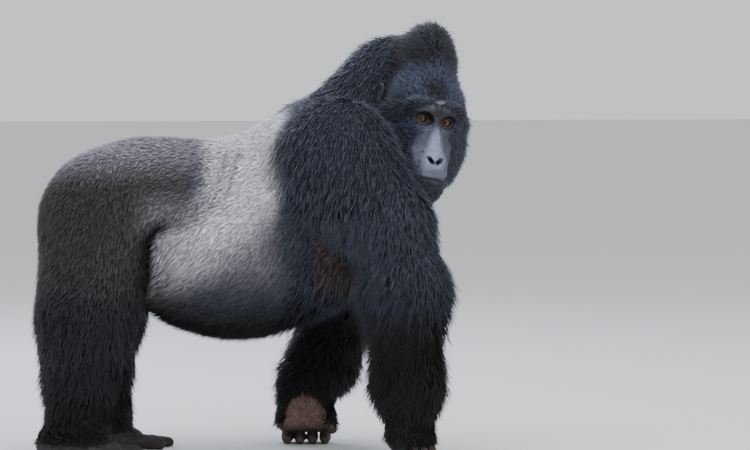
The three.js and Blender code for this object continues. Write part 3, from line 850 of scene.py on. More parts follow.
def face_colours(p):
    """The bare face: slate; paler on the nose and upper lip with a painted sheen; dark at the lips and round
    the eyes, with painted shade in the sockets and nostrils; scarred on the brow.
    """
    y, z = np.abs(p[:, 1]), p[:, 2]
    eye_y = y - PUPILS_APART / 2
    bridge = np.hypot(y / line(z, (-100, 30), (-70, 21), (-20, 15)), (z + 62) / 44)
    wings = np.hypot(y / 33, (z + 97) / 23)
    lip = np.hypot(y / 46, (z + 126) / 20)
    sockets = np.hypot((eye_y - 2) / 31, (z - 9) / 21)
    glabella = np.hypot(y / 22, (z - 12) / 26)
    lids = np.abs(np.hypot(eye_y / 17, (z + 1) / 11.5) - 1)
    nostrils = np.hypot((y - 11) / 10, (z + 99 - 0.6 * (y - 11)) / 7.5)
    scar = np.hypot((p[:, 1] - 3) / 15, (z - 47 - 0.2 * p[:, 1]) / 5)
    return layered(
        np.tile(SLATE_SKIN, (len(p), 1)),
        # painted sheen on the nose bridge, its wings and the upper lip
        (NOSE_SKY_SHEEN, 0.85 * (1 - smooth_step(smooth_min(bridge, wings, 0.5), 0.45, 1.3))),
        (NOSE_SKY_SHEEN, 0.3 * (1 - smooth_step(lip, 0.5, 1.3))),
        # dark skin round the eyes, with painted shade in the sockets under the brow
        (DARK_SKIN_AND_HOLLOW_SHADE, 0.9 * (1 - smooth_step(smooth_min(sockets, glabella, 0.4), 0.6, 1.3))),
        (LID_SKIN, 0.6 * (1 - smooth_step(lids, 0.05, 0.3)) * smooth_step(-z, -4, 3)),
        (LIP_SKIN, 0.85 * (1 - smooth_step(np.abs(z - mouth_line(y)), 2, 9)) * (y < 50)),
        (LIP_SKIN, smooth_step(-z, 150, 168)),
        # painted shade in the nostrils' openings
        (DARK_SKIN_AND_HOLLOW_SHADE, 0.95 * (1 - smooth_step(nostrils, 0.8, 1.3))),
        (SCAR_SKIN, 0.85 * (1 - smooth_step(scar, 0.5, 1.2))),
    )


def hand_and_foot_cover(body):
    """How thickly hair covers the lower limbs: none on palms, soles and digits, some on the hand's back."""
    z = body.points[:, 2]
    cover = np.ones(len(z))
    for side in SIDES:
        in_hand, in_foot = local(body.points, HANDS[side]), local(body.points, FEET[side])
        at_hand = length(in_hand + (0, 0, 70)) < 150
        back = smooth_step(-in_hand[:, 1], 2, 20) * smooth_step(z, 34, 62)
        edge = smooth_step(np.abs(in_hand[:, 0]), 46, 62) * smooth_step(z, 46, 80)
        wrist = smooth_step(z + 0.016 * in_hand[:, 0] ** 2, 132, 168)
        cover = np.where(at_hand, np.maximum.reduce([wrist, back, edge]), cover)
        at_foot = (np.abs(in_foot[:, 0] - 50) < 190) & (np.abs(in_foot[:, 1]) < 120) & (z < 120)
        instep = smooth_step(z, 36, 64) * (1 - smooth_step(in_foot[:, 0], 62, 96))
        cover = np.where(at_foot, instep, cover)
    return cover


def coat_cover(body):
    ears = np.min([length((body.in_head - place) / (1, 0.8, 1.2)) for place in EARS.values()], axis=0)
    cover = hand_and_foot_cover(body) * (1 - smooth_step(body.bare, 0.05, 0.9))
    return cover * mixed(0.1, 1, smooth_step(ears, 22, 34))


def lie_of_coat(body, normals):
    """The way that the hair's tips point, at right angles to the skin's normal."""
    x, y, z = body.points.T
    side = np.sign(y)
    still = np.zeros_like(x)
    flank = 1 - np.abs(normals[:, 2])
    trunk = np.stack([still - 0.8, 0.2 * side, -0.25 - 0.65 * flank], axis=1)
    chest = np.stack([still - 0.25, still, still - 1], axis=1)
    trunk = tinted(trunk, chest, smooth_step(x, 130, 260))
    fore = 1 - smooth_step(z, 330, 500)
    arm = np.stack([-0.28 - 0.3 * fore, 0.12 * side, still - 1], axis=1)
    leg = np.stack([still - 0.34, 0.08 * side, still - 1], axis=1)
    instep = 1 - smooth_step(z, 85, 125)
    leg = tinted(leg, np.array([0.9, 0, -0.4]), instep)
    rise = smooth_step(body.in_head[:, 2], -30, 55)
    across = np.clip(body.in_head[:, 1] / 60, -1, 1)
    head = np.stack([-0.75 - 0.1 * rise, 0.35 * across, mixed(-0.9, 0.45, rise)], axis=1)
    crest = smooth_step(body.in_head[:, 2], 120, 190)
    head = tinted(head, np.array([-1.0, 0, -0.3]), crest)
    head = head @ np.array(HEAD)[:3, :3].T
    lie = layered(trunk, (leg, body.on_leg), (arm, body.on_arm), (head, body.on_head))
    lie = lie - np.einsum("ij,ij->i", lie, normals)[:, None] * normals
    return lie / np.maximum(length(lie), 1e-6)[:, None]


def put_attribute(mesh, name, kind, values, key="value"):
    attribute = mesh.attributes.new(name, kind, "POINT")
    attribute.data.foreach_set(key, np.asarray(values, np.float32).ravel())


def mark_skin(mesh):
    """Writes the markings and the coat's lie, length and cover on the skin's vertices."""
    places, normals = vertex_places(mesh), read_all(mesh.vertices, "normal", 3).astype(float)
    body = Body(places)
    z = places[:, 2]
    hair, cover, depth = coat_colours(body), coat_cover(body), body.coat_depth()
    bare = layered(
        np.tile(PALM_SKIN, (len(z), 1)),
        (KNUCKLE_SKIN, 0.85 * (1 - smooth_step(z, 36, 60))),
        (FOOT_SKIN, (places[:, 0] < -100).astype(float)),
        (EAR_SKIN, smooth_step(z, 640, 700)),
        (face_colours(body.in_head), smooth_step(body.in_head[:, 0], -70, -40) * body.on_head),
    )
    skin_colours = tinted(bare, 0.55 * hair, cover)
    solid = np.ones((len(z), 1))
    put_attribute(mesh, "hair_colour", "FLOAT_COLOR", np.hstack([hair, solid]), "color")
    put_attribute(mesh, "skin_colour", "FLOAT_COLOR", np.hstack([skin_colours, solid]), "color")
    put_attribute(mesh, "cover", "FLOAT", cover)
    put_attribute(mesh, "lie", "FLOAT_VECTOR", lie_of_coat(body, normals), "vector")
    nape = smooth_step(z, 880, 960) * smooth_step(-body.in_head[:, 0], 100, 150)
    beside_crest = smooth_step(np.abs(body.in_head[:, 1]), 25, 65) * smooth_step(body.in_head[:, 2], 90, 150)
    nape = np.maximum(nape, 0.8 * beside_crest * body.on_head)
    temple = band(body.in_head[:, 0], -110, -10, 30) * band(body.in_head[:, 2], -60, 70, 30)
    temple = temple * smooth_step(np.abs(body.in_head[:, 1]), 60, 80) * body.on_head
    under = smooth_step(-normals[:, 2], 0.2, 0.8) * (1 - body.on_head) * (z > 300)
    thigh_fold = np.minimum(1, 1.3 * body.thigh_crease())
    long_hair = 9 + 1.25 * depth + 4 * body.on_head + 16 * nape + 8 * temple + 14 * under
    long_hair = long_hair * (1 - 0.6 * thigh_fold) * mixed(0.3, 1, smooth_step(cover, 0.1, 0.95))
    put_attribute(mesh, "hair_length", "FLOAT", long_hair * MM)
    lift = np.clip(0.85 * depth / long_hair, 0.12, 0.75) + 0.06 * body.on_head + 0.06 * body.on_arm
    lift = lift + 0.25 * nape + 0.2 * temple + 0.3 * under
    put_attribute(mesh, "hair_lift", "FLOAT", lift)
    return body


body_at_skin = mark_skin(skin.data)

# ---- materials -----------------------------------------------------------------------------------

MATH, VECTOR_MATH, MAP_RANGE = "ShaderNodeMath", "ShaderNodeVectorMath", "ShaderNodeMapRange"
NOISE, BUMP, ATTRIBUTE = "ShaderNodeTexNoise", "ShaderNodeBump", "ShaderNodeAttribute"
PRINCIPLED, SURFACE = "ShaderNodeBsdfPrincipled", "ShaderNodeOutputMaterial"
TIMES = {"operation": "MULTIPLY"}
PLUS = {"operation": "ADD"}
MINUS = {"operation": "SUBTRACT"}
TIMES_PLUS = {"operation": "MULTIPLY_ADD"}
SCALED = {"operation": "SCALE"}


def add(tree, kind, settings=(), inputs=(), output=None):
    """Adds a node with its settings, and its inputs by name or in order. Gives the node, or one output."""
    node = tree.nodes.new(kind)
    for name, value in dict(settings).items():
        setattr(node, name, value)
    for name, value in inputs.items() if isinstance(inputs, dict) else enumerate(inputs):
        if isinstance(value, bpy.types.NodeSocket):
            tree.links.new(value, node.inputs[name])
        else:
            node.inputs[name].default_value = value
    return node if output is None else node.outputs[output]


def new_material(name):
    """A material, and the function that adds a node to its tree."""
    material = bpy.data.materials.new(name)
    material.use_nodes = True
    material.node_tree.nodes.clear()
    return material, partial(add, material.node_tree)


def make_skin_material(name, roughness, wrinkle_width, wrinkle_depth, pore_width, specular):
    """Bare skin: leathery, with crossing wrinkles painted darker in their grooves as shade, and fine pores.
    Sizes are in millimetres.
    """
    material, node = new_material(name)
    place = node("ShaderNodeTexCoord", (), (), "Object")
    warp = node(NOISE, (), {"Vector": place, "Scale": 1000 / 24, "Detail": 2}, "Color")
    bent = node(VECTOR_MATH, TIMES_PLUS, (warp, (0.008, 0.008, 0.008), place), "Vector")
    wrinkles = node("ShaderNodeTexVoronoi", {"feature": "DISTANCE_TO_EDGE"}, {
        "Vector": bent, "Scale": 1000 / wrinkle_width,
    }, "Distance")
    soft = node(MAP_RANGE, {"interpolation_type": "SMOOTHSTEP"}, {
        "Value": wrinkles, "From Min": 0, "From Max": 0.22,
    }, "Result")
    pores = node(NOISE, (), {"Vector": place, "Scale": 1000 / pore_width, "Detail": 3}, "Fac")
    mottle = node(NOISE, (), {"Vector": place, "Scale": 1000 / 14, "Detail": 4}, "Fac")
    height = node(MATH, TIMES_PLUS, (pores, 0.35, soft), "Value")
    bump = node(BUMP, (), {"Height": height, "Strength": 0.5, "Distance": wrinkle_depth * MM}, "Normal")
    light = node(MAP_RANGE, (), {
        "Value": mottle, "From Min": 0.3, "From Max": 0.7, "To Min": 0.72, "To Max": 1.2,
    }, "Result")
    # painted shade: the colour darkens in the wrinkles' grooves
    crease_shade = node(MAP_RANGE, (), {"Value": soft, "To Min": 1 - 0.35 * wrinkle_depth, "To Max": 1}, "Result")
    shade = node(MATH, TIMES, (light, crease_shade), "Value")
    marking = node(ATTRIBUTE, {"attribute_name": "skin_colour"}, (), "Color")
    colour = node(VECTOR_MATH, SCALED, {0: marking, "Scale": shade}, "Vector")
    shader = node(PRINCIPLED, (), {
        "Base Color": colour, "Roughness": roughness, "Specular IOR Level": specular, "Normal": bump,
    }, "BSDF")
    node(SURFACE, (), {"Surface": shader})
    return material


# Slate facial skin, hairless and slightly oily: soft gloss on the nose and brow over fine crossing lines.
face_skin = make_skin_material("oily slate facial skin", 0.5, 3.4, 0.14, 1.1, 0.3)
# Palm leather, thick and dry from knuckle-walking: a coarse grain and hardly any gloss.
palm_skin = make_skin_material("calloused palm leather", 0.7, 9.0, 0.8, 1.6, 0.2)
# Sole leather, as thick as the palm's and darker.
foot_skin = make_skin_material("calloused sole leather", 0.72, 8.0, 0.8, 1.6, 0.2)


def make_under_coat_material():
    """Skin under the coat: what shows between tufts is short combed underhair.
    Real underhair is finer than 0.1 mm, and it is drawn 3 mm wide so that it shows."""
    material, node = new_material("combed underhair on skin")
    place = node("ShaderNodeTexCoord", (), (), "Object")
    hairs = node(NOISE, (), {"Vector": place, "Scale": 1000 / 3, "Detail": 4, "Roughness": 0.7}, "Fac")
    bump = node(BUMP, (), {"Height": hairs, "Strength": 0.6, "Distance": 2 * MM}, "Normal")
    light = node(MAP_RANGE, (), {
        "Value": hairs, "From Min": 0.3, "From Max": 0.7, "To Min": 0.5, "To Max": 1.25,
    }, "Result")
    marking = node(ATTRIBUTE, {"attribute_name": "skin_colour"}, (), "Color")
    colour = node(VECTOR_MATH, SCALED, {0: marking, "Scale": light}, "Vector")
    shader = node(PRINCIPLED, (), {
        "Base Color": colour, "Roughness": 0.8, "Specular IOR Level": 0.12, "Normal": bump,
    }, "BSDF")
    node(SURFACE, (), {"Surface": shader})
    return material


under_coat = make_under_coat_material()


def make_hair_material(name, roughness, specular, sheen):
    """Guard hair: darker at the root, paler at the tip, and each lock a little lighter or darker."""
    material, node = new_material(name)
    along = node(ATTRIBUTE, {"attribute_name": "along"}, (), "Fac")
    tip = node(MAP_RANGE, (), {
        "Value": along, "From Min": 0, "From Max": 0.8, "To Min": 0.3, "To Max": 1.25,
    }, "Result")
    lock = node(ATTRIBUTE, {"attribute_name": "lock"}, (), "Fac")
    lock = node(MATH, {"operation": "POWER"}, (lock, 2.0), "Value")
    lock = node(MAP_RANGE, (), {"Value": lock, "To Min": 0.62, "To Max": 1.75}, "Result")
    shade = node(MATH, TIMES, (tip, lock), "Value")
    marking = node(ATTRIBUTE, {"attribute_name": "hair_colour"}, (), "Color")
    colour = node(VECTOR_MATH, SCALED, {0: marking, "Scale": shade}, "Vector")
    shader = node(PRINCIPLED, (), {
        "Base Color": colour, "Roughness": roughness, "Specular IOR Level": specular,
        "Sheen Weight": sheen, "Sheen Roughness": 0.4,
    }, "BSDF")
    node(SURFACE, (), {"Surface": shader})
    return material


# Black guard hair, coarse and clean: a low bluish sheen where it turns to the light.
black_hair = make_hair_material("black guard hair", 0.42, 0.34, 0.04)
# Silver saddle hair, short and dense with little pigment: nearly matt.
silver_hair = make_hair_material("silver saddle hair", 0.6, 0.35, 0.1)
# Grizzled hair of the rump and thighs, brown-black with grey flecks.
grizzled_hair = make_hair_material("grizzled brown hair", 0.55, 0.4, 0.1)


def make_nail_material():
    """Nail horn: keratin grown in lengthwise ridges, worn and grey, with a low polish."""
    material, node = new_material("worn nail horn")
    place = node("ShaderNodeTexCoord", (), (), "Object")
    grain = node(NOISE, (), {"Vector": place, "Scale": 1000 / 5, "Detail": 4}, "Fac")
    colour = node("ShaderNodeValToRGB", (), {"Fac": grain})
    for stop, shade in zip(colour.color_ramp.elements, ("#4b4441", "#8f857c")):
        stop.color = (*linear(shade), 1)
    bump = node(BUMP, (), {"Height": grain, "Strength": 0.3, "Distance": MM}, "Normal")
    shader = node(PRINCIPLED, (), {
        "Base Color": colour.outputs["Color"], "Roughness": 0.38, "Specular IOR Level": 0.5, "Normal": bump,
    }, "BSDF")
    node(SURFACE, (), {"Surface": shader})
    return material


nail_horn = make_nail_material()


def make_eye_material():
    """A wet eye: amber iris with a dark rim and radiating fibres, round pupil and dark brown white."""
    material, node = new_material("wet amber eye")
    off_axis = node(ATTRIBUTE, {"attribute_name": "off_axis"}, (), "Fac")
    spoke = node(ATTRIBUTE, {"attribute_name": "spoke"}, (), "Vector")
    fibres = node(NOISE, (), {"Vector": spoke, "Scale": 9, "Detail": 2}, "Fac")
    ragged = node(MATH, TIMES_PLUS, (fibres, 0.5, off_axis), "Value")
    place = node(MAP_RANGE, (), {"Value": ragged, "From Min": 0, "From Max": 14}, "Result")
    rings = node("ShaderNodeValToRGB", (), {"Fac": place})
    ramp = rings.color_ramp
    stops = (
        (0.0, "#050303"), (0.22, "#060404"), (0.28, "#4d2b18"), (0.48, "#7d5634"),
        (0.66, "#5c3a22"), (0.74, "#22130b"), (0.84, "#432a1a"), (1.0, "#2a1c15"),
    )
    for at, shade in stops[1:-1]:
        ramp.elements.new(at)
    for stop, (at, shade) in zip(ramp.elements, stops):
        stop.position = at
        stop.color = (*linear(shade), 1)
    shader = node(PRINCIPLED, (), {
        "Base Color": rings.outputs["Color"], "Roughness": 0.5, "Specular IOR Level": 0.15,
        "Coat Weight": 0.3, "Coat Roughness": 0.04, "Coat IOR": 1.34,
    }, "BSDF")
    node(SURFACE, (), {"Surface": shader})
    return material


amber_eye = make_eye_material()

# ---- skin materials by place ---------------------------------------------------------------------


def paint_skin(piece, body):
    mesh = piece.data
    for material in (under_coat, face_skin, palm_skin, foot_skin):
        mesh.materials.append(material)
    cover = read_all(mesh.attributes["cover"].data, "value")
    bare_kind = np.where(body.on_head > 0.5, 1, np.where(body.points[:, 0] > -100, 2, 3))
    kind = np.where((cover > 0.5) & ((body.on_head < 0.5) | (body.in_head[:, 0] < -90)), 0, bare_kind)
    first_corner = read_all(mesh.polygons, "loop_start", kind=np.int32)
    corner_vertex = read_all(mesh.loops, "vertex_index", kind=np.int32)
    mesh.polygons.foreach_set("material_index", kind[corner_vertex[first_corner]].astype(np.int32))


paint_skin(skin, body_at_skin)
FLESH = [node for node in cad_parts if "nail" not in node and not node.startswith("eye_")]
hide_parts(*FLESH)
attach(skin, "root")

# ---- the coat: tufts made by Geometry Nodes on pieces of the skin --------------------------------

PATCH = 0.003  # the side of a tuft's patch on the unwrap
CLUMP = 38  # millimetres between clumps that lean together
LOWEST = (-9, -9, 0.0006)  # metres: tips stay just above the floor, and anywhere along and across it
SHORT_HAIR, USUAL_HAIR, LONG_HAIR = 0.012, 0.022, 0.06  # metres
STORE, NAMED = "GeometryNodeStoreNamedAttribute", "GeometryNodeInputNamedAttribute"
RANDOM, COMBINE = "FunctionNodeRandomValue", "ShaderNodeCombineXYZ"
NUMBERS = {"data_type": "FLOAT"}
VECTORS = {"data_type": "FLOAT_VECTOR"}


def tuft_shape(tree):
    """A closed three-sided lock, 1 long and 1 wide, with its shape along it kept for its colour.
    A single hair would be too fine to show, so each tuft stands for a lock of 2 to 3 mm."""
    node = partial(add, tree)
    cone = node("GeometryNodeMeshCone", {"fill_type": "NGON"}, {
        "Vertices": 3, "Side Segments": 2, "Radius Top": 0, "Radius Bottom": 0.38, "Depth": 1,
    }, "Mesh")
    place = node("GeometryNodeInputPosition", (), (), "Position")
    parts = node("ShaderNodeSeparateXYZ", (), (place,))
    height = parts.outputs["Z"]
    off_middle = node(MATH, TIMES_PLUS, (height, 2, -1), "Value")
    off_middle = node(MATH, {"operation": "ABSOLUTE"}, (off_middle,), "Value")
    middle = node(MATH, MINUS, (1, off_middle), "Value")
    fuller = node(MATH, TIMES_PLUS, (middle, 1.3, 1), "Value")
    wide = node(COMBINE, (), (fuller, fuller, 1), "Vector")
    swollen = node(VECTOR_MATH, TIMES, (place, wide), "Vector")
    shaped = node("GeometryNodeSetPosition", (), {"Geometry": cone, "Position": swollen}, "Geometry")
    shaped = node(STORE, NUMBERS, {"Geometry": shaped, "Name": "along", "Value": height}, "Geometry")
    blade_y = node(MATH, MINUS, (height, 0.5), "Value")
    blade = node(COMBINE, (), (parts.outputs["X"], blade_y), "Vector")
    return node(STORE, VECTORS, {"Geometry": shaped, "Name": "blade", "Value": blade}, "Geometry")


def coat_tree():
    """Roots strewn over the skin, a lock on each that follows the coat's lie, bent by its weight."""
    tree = bpy.data.node_groups.new("coat of tufts", "GeometryNodeTree")
    node = partial(add, tree)
    tree.interface.new_socket("Skin", in_out="INPUT", socket_type="NodeSocketGeometry")
    for name, kind in (("Tufts per square metre", "Float"), ("Tuft width", "Float"), ("Droop", "Float"),
                       ("Unruly", "Float"), ("Seed", "Int"), ("Hair", "Material")):
        tree.interface.new_socket(name, in_out="INPUT", socket_type=f"NodeSocket{kind}")
    tree.interface.new_socket("Coat", in_out="OUTPUT", socket_type="NodeSocketGeometry")
    given = node("NodeGroupInput").outputs
    # the roots
    density = node(NAMED, NUMBERS, {"Name": "density"}, "Attribute")
    density = node(MATH, TIMES, (given["Tufts per square metre"], density), "Value")
    roots = node("GeometryNodeDistributePointsOnFaces", {"distribute_method": "RANDOM"}, {
        "Mesh": given["Skin"], "Density": density, "Seed": given["Seed"],
    })
    normal = roots.outputs["Normal"]
    place = node("GeometryNodeInputPosition", (), (), "Position")
    # the way each lock points: the lie, with clumps that lean together and stray locks
    clump = node(NOISE, (), {"Vector": place, "Scale": 1000 / CLUMP, "Detail": 1}, "Color")
    fine_clump = node(NOISE, (), {"Vector": place, "Scale": 3.2 * 1000 / CLUMP, "Detail": 1}, "Color")
    lean = node(VECTOR_MATH, PLUS, (clump, fine_clump), "Vector")
    lean = node(VECTOR_MATH, MINUS, (lean, (1, 1, 1)), "Vector")
    lean_share = node(MATH, TIMES, (given["Unruly"], 1.5), "Value")
    lean = node(VECTOR_MATH, SCALED, {0: lean, "Scale": lean_share}, "Vector")
    stray = node(RANDOM, VECTORS, {0: (-1, -1, -1), 1: (1, 1, 1), "Seed": given["Seed"]}, 0)
    stray_share = node(MATH, TIMES, (given["Unruly"], 0.32), "Value")
    stray = node(VECTOR_MATH, SCALED, {0: stray, "Scale": stray_share}, "Vector")
    lie = node(NAMED, VECTORS, {"Name": "lie"}, "Attribute")
    way = node(VECTOR_MATH, PLUS, (lie, node(VECTOR_MATH, PLUS, (lean, stray), "Vector")), "Vector")
    through = node(VECTOR_MATH, {"operation": "PROJECT"}, (way, normal), "Vector")
    flat = node(VECTOR_MATH, MINUS, (way, through), "Vector")
    flat = node(VECTOR_MATH, {"operation": "NORMALIZE"}, (flat,), "Vector")
    lift = node(NAMED, NUMBERS, {"Name": "hair_lift"}, "Attribute")
    lift = node(MATH, TIMES, (lift, node(RANDOM, (), {2: 0.55, 3: 1.3, "Seed": 3}, 1)), "Value")
    raised = node(VECTOR_MATH, SCALED, {0: normal, "Scale": lift}, "Vector")
    way = node(VECTOR_MATH, PLUS, (flat, raised), "Vector")
    turned = node("FunctionNodeAlignRotationToVector", {"axis": "Z"}, {"Vector": way}, "Rotation")
    turned = node("FunctionNodeAlignRotationToVector", {"axis": "Y", "pivot_axis": "Z"}, {
        "Rotation": turned, "Vector": normal,
    }, "Rotation")
    # its size, sway and shade
    long = node(NAMED, NUMBERS, {"Name": "hair_length"}, "Attribute")
    long = node(MATH, TIMES, (long, node(RANDOM, (), {2: 0.6, 3: 1.25, "Seed": 5}, 1)), "Value")
    width = node(RANDOM, (), {2: 0.6, 3: 1.3, "Seed": 6}, 1)
    width = node(MATH, TIMES, (given["Tuft width"], width), "Value")
    thick = node(MATH, TIMES, (width, 0.45), "Value")
    size = node(COMBINE, (), (width, thick, long), "Vector")
    fall = node(MATH, TIMES, (given["Droop"], -1), "Value")
    fall = node(COMBINE, (), {"Z": fall}, "Vector")
    sway = node(RANDOM, VECTORS, {0: (-0.16, -0.16, -0.16), 1: (0.16, 0.16, 0.16), "Seed": 8}, 0)
    sway = node(VECTOR_MATH, PLUS, (sway, fall), "Vector")
    sway = node(VECTOR_MATH, SCALED, {0: sway, "Scale": long}, "Vector")
    shade = node(RANDOM, (), {2: 0.0, 3: 1.0, "Seed": 9}, 1)
    points = roots.outputs["Points"]
    points = node(STORE, VECTORS, {"Geometry": points, "Name": "sway", "Value": sway}, "Geometry")
    points = node(STORE, NUMBERS, {"Geometry": points, "Name": "lock", "Value": shade}, "Geometry")
    tufts = node("GeometryNodeInstanceOnPoints", (), {
        "Points": points, "Instance": tuft_shape(tree), "Rotation": turned, "Scale": size,
    }, "Instances")
    coat = node("GeometryNodeRealizeInstances", (), {"Geometry": tufts}, "Geometry")
    # the bend towards the tip, held above the floor
    sway = node(NAMED, VECTORS, {"Name": "sway"}, "Attribute")
    along = node(NAMED, NUMBERS, {"Name": "along"}, "Attribute")
    towards_tip = node(MATH, TIMES, (along, along), "Value")
    bend = node(VECTOR_MATH, SCALED, {0: sway, "Scale": towards_tip}, "Vector")
    bent = node(VECTOR_MATH, PLUS, (place, bend), "Vector")
    bent = node(VECTOR_MATH, {"operation": "MAXIMUM"}, (bent, LOWEST), "Vector")
    coat = node("GeometryNodeSetPosition", (), {"Geometry": coat, "Position": bent}, "Geometry")
    # each tuft's patch on the skin's unwrap
    blade = node(NAMED, VECTORS, {"Name": "blade"}, "Attribute")
    root = node(NAMED, VECTORS, {"Name": "skin_unwrap"}, "Attribute")
    patch = node(VECTOR_MATH, TIMES_PLUS, (blade, (PATCH, PATCH, PATCH), root), "Vector")
    coat = node(STORE, {"data_type": "FLOAT2", "domain": "CORNER"}, {
        "Geometry": coat, "Name": "OFBake", "Value": patch,
    }, "Geometry")
    coat = node("GeometryNodeSetMaterial", (), {"Geometry": coat, "Material": given["Hair"]}, "Geometry")
    node("NodeGroupOutput", (), {"Coat": coat})
    return tree


def set_input(modifier, name, value):
    sockets = modifier.node_group.interface.items_tree
    identifier = next(item.identifier for item in sockets if item.name == name and item.in_out == "INPUT")
    modifier[identifier] = value


TUFT_TREE = coat_tree()
KEPT_ATTRIBUTES = ("position", "OFBake", "hair_colour", "along", "lock", "material_index")


def region_of_faces(body, mesh):
    """The coat piece that each of the skin's faces belongs to."""
    x, y, z = body.points.T
    on_leg, on_arm = body.on_leg > 0.5, (body.on_arm > 0.5) & (z < 640)
    region = np.full(len(x), COATS.index("belly"))
    for name, inside in (
        ("saddle", z > 500),
        ("shoulders", (x > 70) | (body.on_arm > 0.2)),
        ("rump", (x < -225) | on_leg),
        ("lower_legs", on_leg & (z < 400)),
        ("right_arm", on_arm & (y < 0)),
        ("left_arm", on_arm & (y > 0)),
        ("head", body.on_head > 0.5),
    ):
        region[inside] = COATS.index(name)
    corners = np.array([polygon.vertices[0] for polygon in mesh.polygons])
    return region[corners]


def emitter_of(name, chosen):
    """A copy of the skin's chosen faces, with an unwrap of its own."""
    shape = bmesh.new()
    shape.from_mesh(skin.data)
    shape.faces.ensure_lookup_table()
    unwanted = [shape.faces[index] for index in np.flatnonzero(~chosen)]
    bmesh.ops.delete(shape, geom=unwanted, context="FACES")
    mesh = bpy.data.meshes.new(name)
    shape.to_mesh(mesh)
    shape.free()
    mesh.uv_layers.new(name="skin_unwrap")
    piece = linked(name, mesh)
    bpy.ops.object.select_all(action="DESELECT")
    piece.select_set(True)
    bpy.context.view_layer.objects.active = piece
    bpy.ops.object.mode_set(mode="EDIT")
    bpy.ops.mesh.select_all(action="SELECT")
    bpy.ops.uv.smart_project(angle_limit=math.radians(66), island_margin=0.004)
    bpy.ops.object.mode_set(mode="OBJECT")
    return piece


def density_of(mesh):
    """How closely tufts stand at each vertex: by cover, and closer where the hair is short."""
    cover, long_hair = (read_all(mesh.attributes[name].data, "value") for name in ("cover", "hair_length"))
    return cover * (USUAL_HAIR / np.clip(long_hair, SHORT_HAIR, LONG_HAIR)) ** 0.5


def grow_coat(name, chosen, tufts, width, droop, unruly, hair, seed):
    piece = emitter_of(f"{name}_coat", chosen)
    density = density_of(piece.data)
    put_attribute(piece.data, "density", "FLOAT", density)
    total = sum(face.area * np.mean(density[list(face.vertices)]) for face in piece.data.polygons)
    modifier = piece.modifiers.new("tufts", "NODES")
    modifier.node_group = TUFT_TREE
    for key, value in {
        "Tufts per square metre": float(tufts / total), "Tuft width": width * MM, "Droop": droop,
        "Unruly": unruly, "Seed": seed, "Hair": hair,
    }.items():
        set_input(modifier, key, value)
    mesh = settled_mesh(piece)
    names = [attribute.name for attribute in mesh.attributes]
    for attribute in names:
        if attribute not in KEPT_ATTRIBUTES and not attribute.startswith("."):
            mesh.attributes.remove(mesh.attributes[attribute])
    mesh.shade_smooth()
    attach(piece, "root")


TUFTS = 18_500  # on each piece
COAT_LOOKS = {
    # width mm, droop, unruliness, hair, slot
    "head": (2.2, 0.05, 0.5, black_hair, "black_coat"),
    "shoulders": (2.9, 0.14, 0.75, black_hair, "black_coat"),
    "right_arm": (3.2, 0.26, 1.0, black_hair, "black_coat"),
    "left_arm": (3.2, 0.26, 1.0, black_hair, "black_coat"),
    "saddle": (2.4, 0.05, 0.35, silver_hair, "silver_coat"),
    "belly": (2.6, 0.08, 0.5, grizzled_hair, "silver_coat"),
    "rump": (2.8, 0.08, 0.55, grizzled_hair, "grey_brown_coat"),
    "lower_legs": (3.0, 0.2, 0.9, black_hair, "black_coat"),
}
COATS = list(COAT_LOOKS)

coat_regions = region_of_faces(body_at_skin, skin.data)
for seed, name in enumerate(COATS):
    width, droop, unruly, hair, slot = COAT_LOOKS[name]
    grow_coat(name, coat_regions == seed, TUFTS, width, droop, unruly, hair, seed)

# ---- eyes ----------------------------------------------------------------------------------------

CORNEA_RADIUS, CORNEA_RISE = 9.5, 1.3  # millimetres
GAZE = Vector((-0.07, -0.99, 0.05)).normalized()


def make_eye(side):
    """A ball with the cornea's low dome, turned to look at the viewer."""
    shape = bmesh.new()
    bmesh.ops.create_uvsphere(shape, u_segments=48, v_segments=40, radius=EYE_RADIUS)
    mesh = bpy.data.meshes.new(f"eye_{SIDE_NAMES[side]}")
    shape.to_mesh(mesh)
    shape.free()
    local_places = np.array([vertex.co for vertex in mesh.vertices])
    off_axis = np.hypot(local_places[:, 0], local_places[:, 1])
    front = local_places[:, 2] > 0
    rise = np.where(front, CORNEA_RISE * np.clip(1 - (off_axis / CORNEA_RADIUS) ** 2, 0, 1), 0)
    local_places[:, 2] += rise
    off_axis = np.where(front, off_axis, EYE_RADIUS)
    spokes = local_places[:, :2] / np.maximum(off_axis, 0.5)[:, None]
    put_attribute(mesh, "off_axis", "FLOAT", off_axis)
    put_attribute(mesh, "spoke", "FLOAT_VECTOR", np.column_stack([spokes, 0.05 * off_axis]), "vector")
    turn = np.array(GAZE.to_track_quat("Z", "Y").to_matrix())
    at = put(HEAD, 0, side * PUPILS_APART / 2, 0)
    move_vertices(mesh, local_places @ turn.T + at)
    mesh.shade_smooth()
    mesh.materials.append(amber_eye)
    eye = linked(f"eyeball_{SIDE_NAMES[side]}", mesh)
    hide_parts(f"eye_{SIDE_NAMES[side]}")
    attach(eye, "root")


for side in SIDES:
    make_eye(side)

# ---- nails ---------------------------------------------------------------------------------------

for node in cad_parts:
    if "nail" in node:
        nail = bpy.data.objects[node]
        nail.data.materials.clear()
        nail.data.materials.append(nail_horn)

# ---- floor, light and camera ---------------------------------------------------------------------


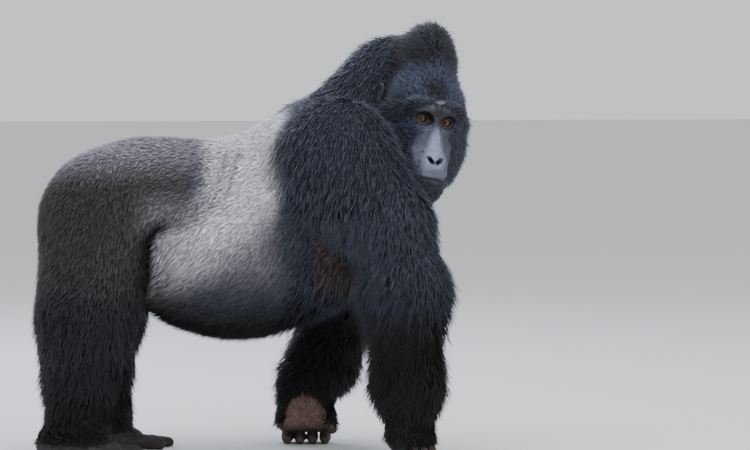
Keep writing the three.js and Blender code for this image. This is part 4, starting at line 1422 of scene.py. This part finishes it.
def make_floor():
    material, node = new_material("pale studio floor")
    shader = node(PRINCIPLED, (), {
        "Base Color": (*linear("#dcdcda"), 1), "Roughness": 0.9, "Specular IOR Level": 0.2,
    }, "BSDF")
    node(SURFACE, (), {"Surface": shader})
    bpy.ops.mesh.primitive_plane_add(size=60)
    floor = bpy.context.object
    floor.name = "studio_floor"
    floor.data.materials.append(material)


def add_light(name, place, aim, size, watts, colour):
    light = bpy.data.objects.new(name, bpy.data.lights.new(name, "AREA"))
    light.data.size = size
    light.data.energy = watts
    light.data.color = linear(colour)
    light.location = place
    light.rotation_euler = (Vector(aim) - Vector(place)).to_track_quat("-Z", "Y").to_euler()
    bpy.context.scene.collection.objects.link(light)


def make_studio():
    world = bpy.data.worlds.new("pale studio")
    world.use_nodes = True
    world.node_tree.nodes["Background"].inputs["Color"].default_value = (*linear("#e8edf4"), 1)
    world.node_tree.nodes["Background"].inputs["Strength"].default_value = 1.05
    bpy.context.scene.world = world
    middle = (0.0, 0.0, 0.55)
    add_light("wide light overhead", (-0.4, -0.8, 4.2), middle, 4.5, 190, "#f2f5ff")
    add_light("soft light by the camera", (1.6, -4.6, 2.4), middle, 3.0, 105, "#ffffff")
    add_light("rim light behind", (-1.2, 3.6, 3.2), middle, 2.6, 110, "#dfe8ff")


CAMERA_TURN, CAMERA_LIFT = -6, 3  # degrees round the animal and above its middle
CAMERA_AWAY = 11.0  # metres
CAMERA_AIM = Vector((0.319, -0.031, 0.583))
LENS = 207  # millimetres


def make_camera():
    turn, lift = math.radians(CAMERA_TURN), math.radians(CAMERA_LIFT)
    back = Vector((math.sin(turn) * math.cos(lift), -math.cos(turn) * math.cos(lift), math.sin(lift)))
    camera = bpy.data.objects.new("camera", bpy.data.cameras.new("camera"))
    camera.data.lens = LENS
    camera.data.clip_end = 100
    camera.location = CAMERA_AIM + CAMERA_AWAY * back
    camera.rotation_euler = back.to_track_quat("Z", "Y").to_euler()
    bpy.context.scene.collection.objects.link(camera)
    bpy.context.scene.camera = camera


make_floor()
make_studio()
make_camera()
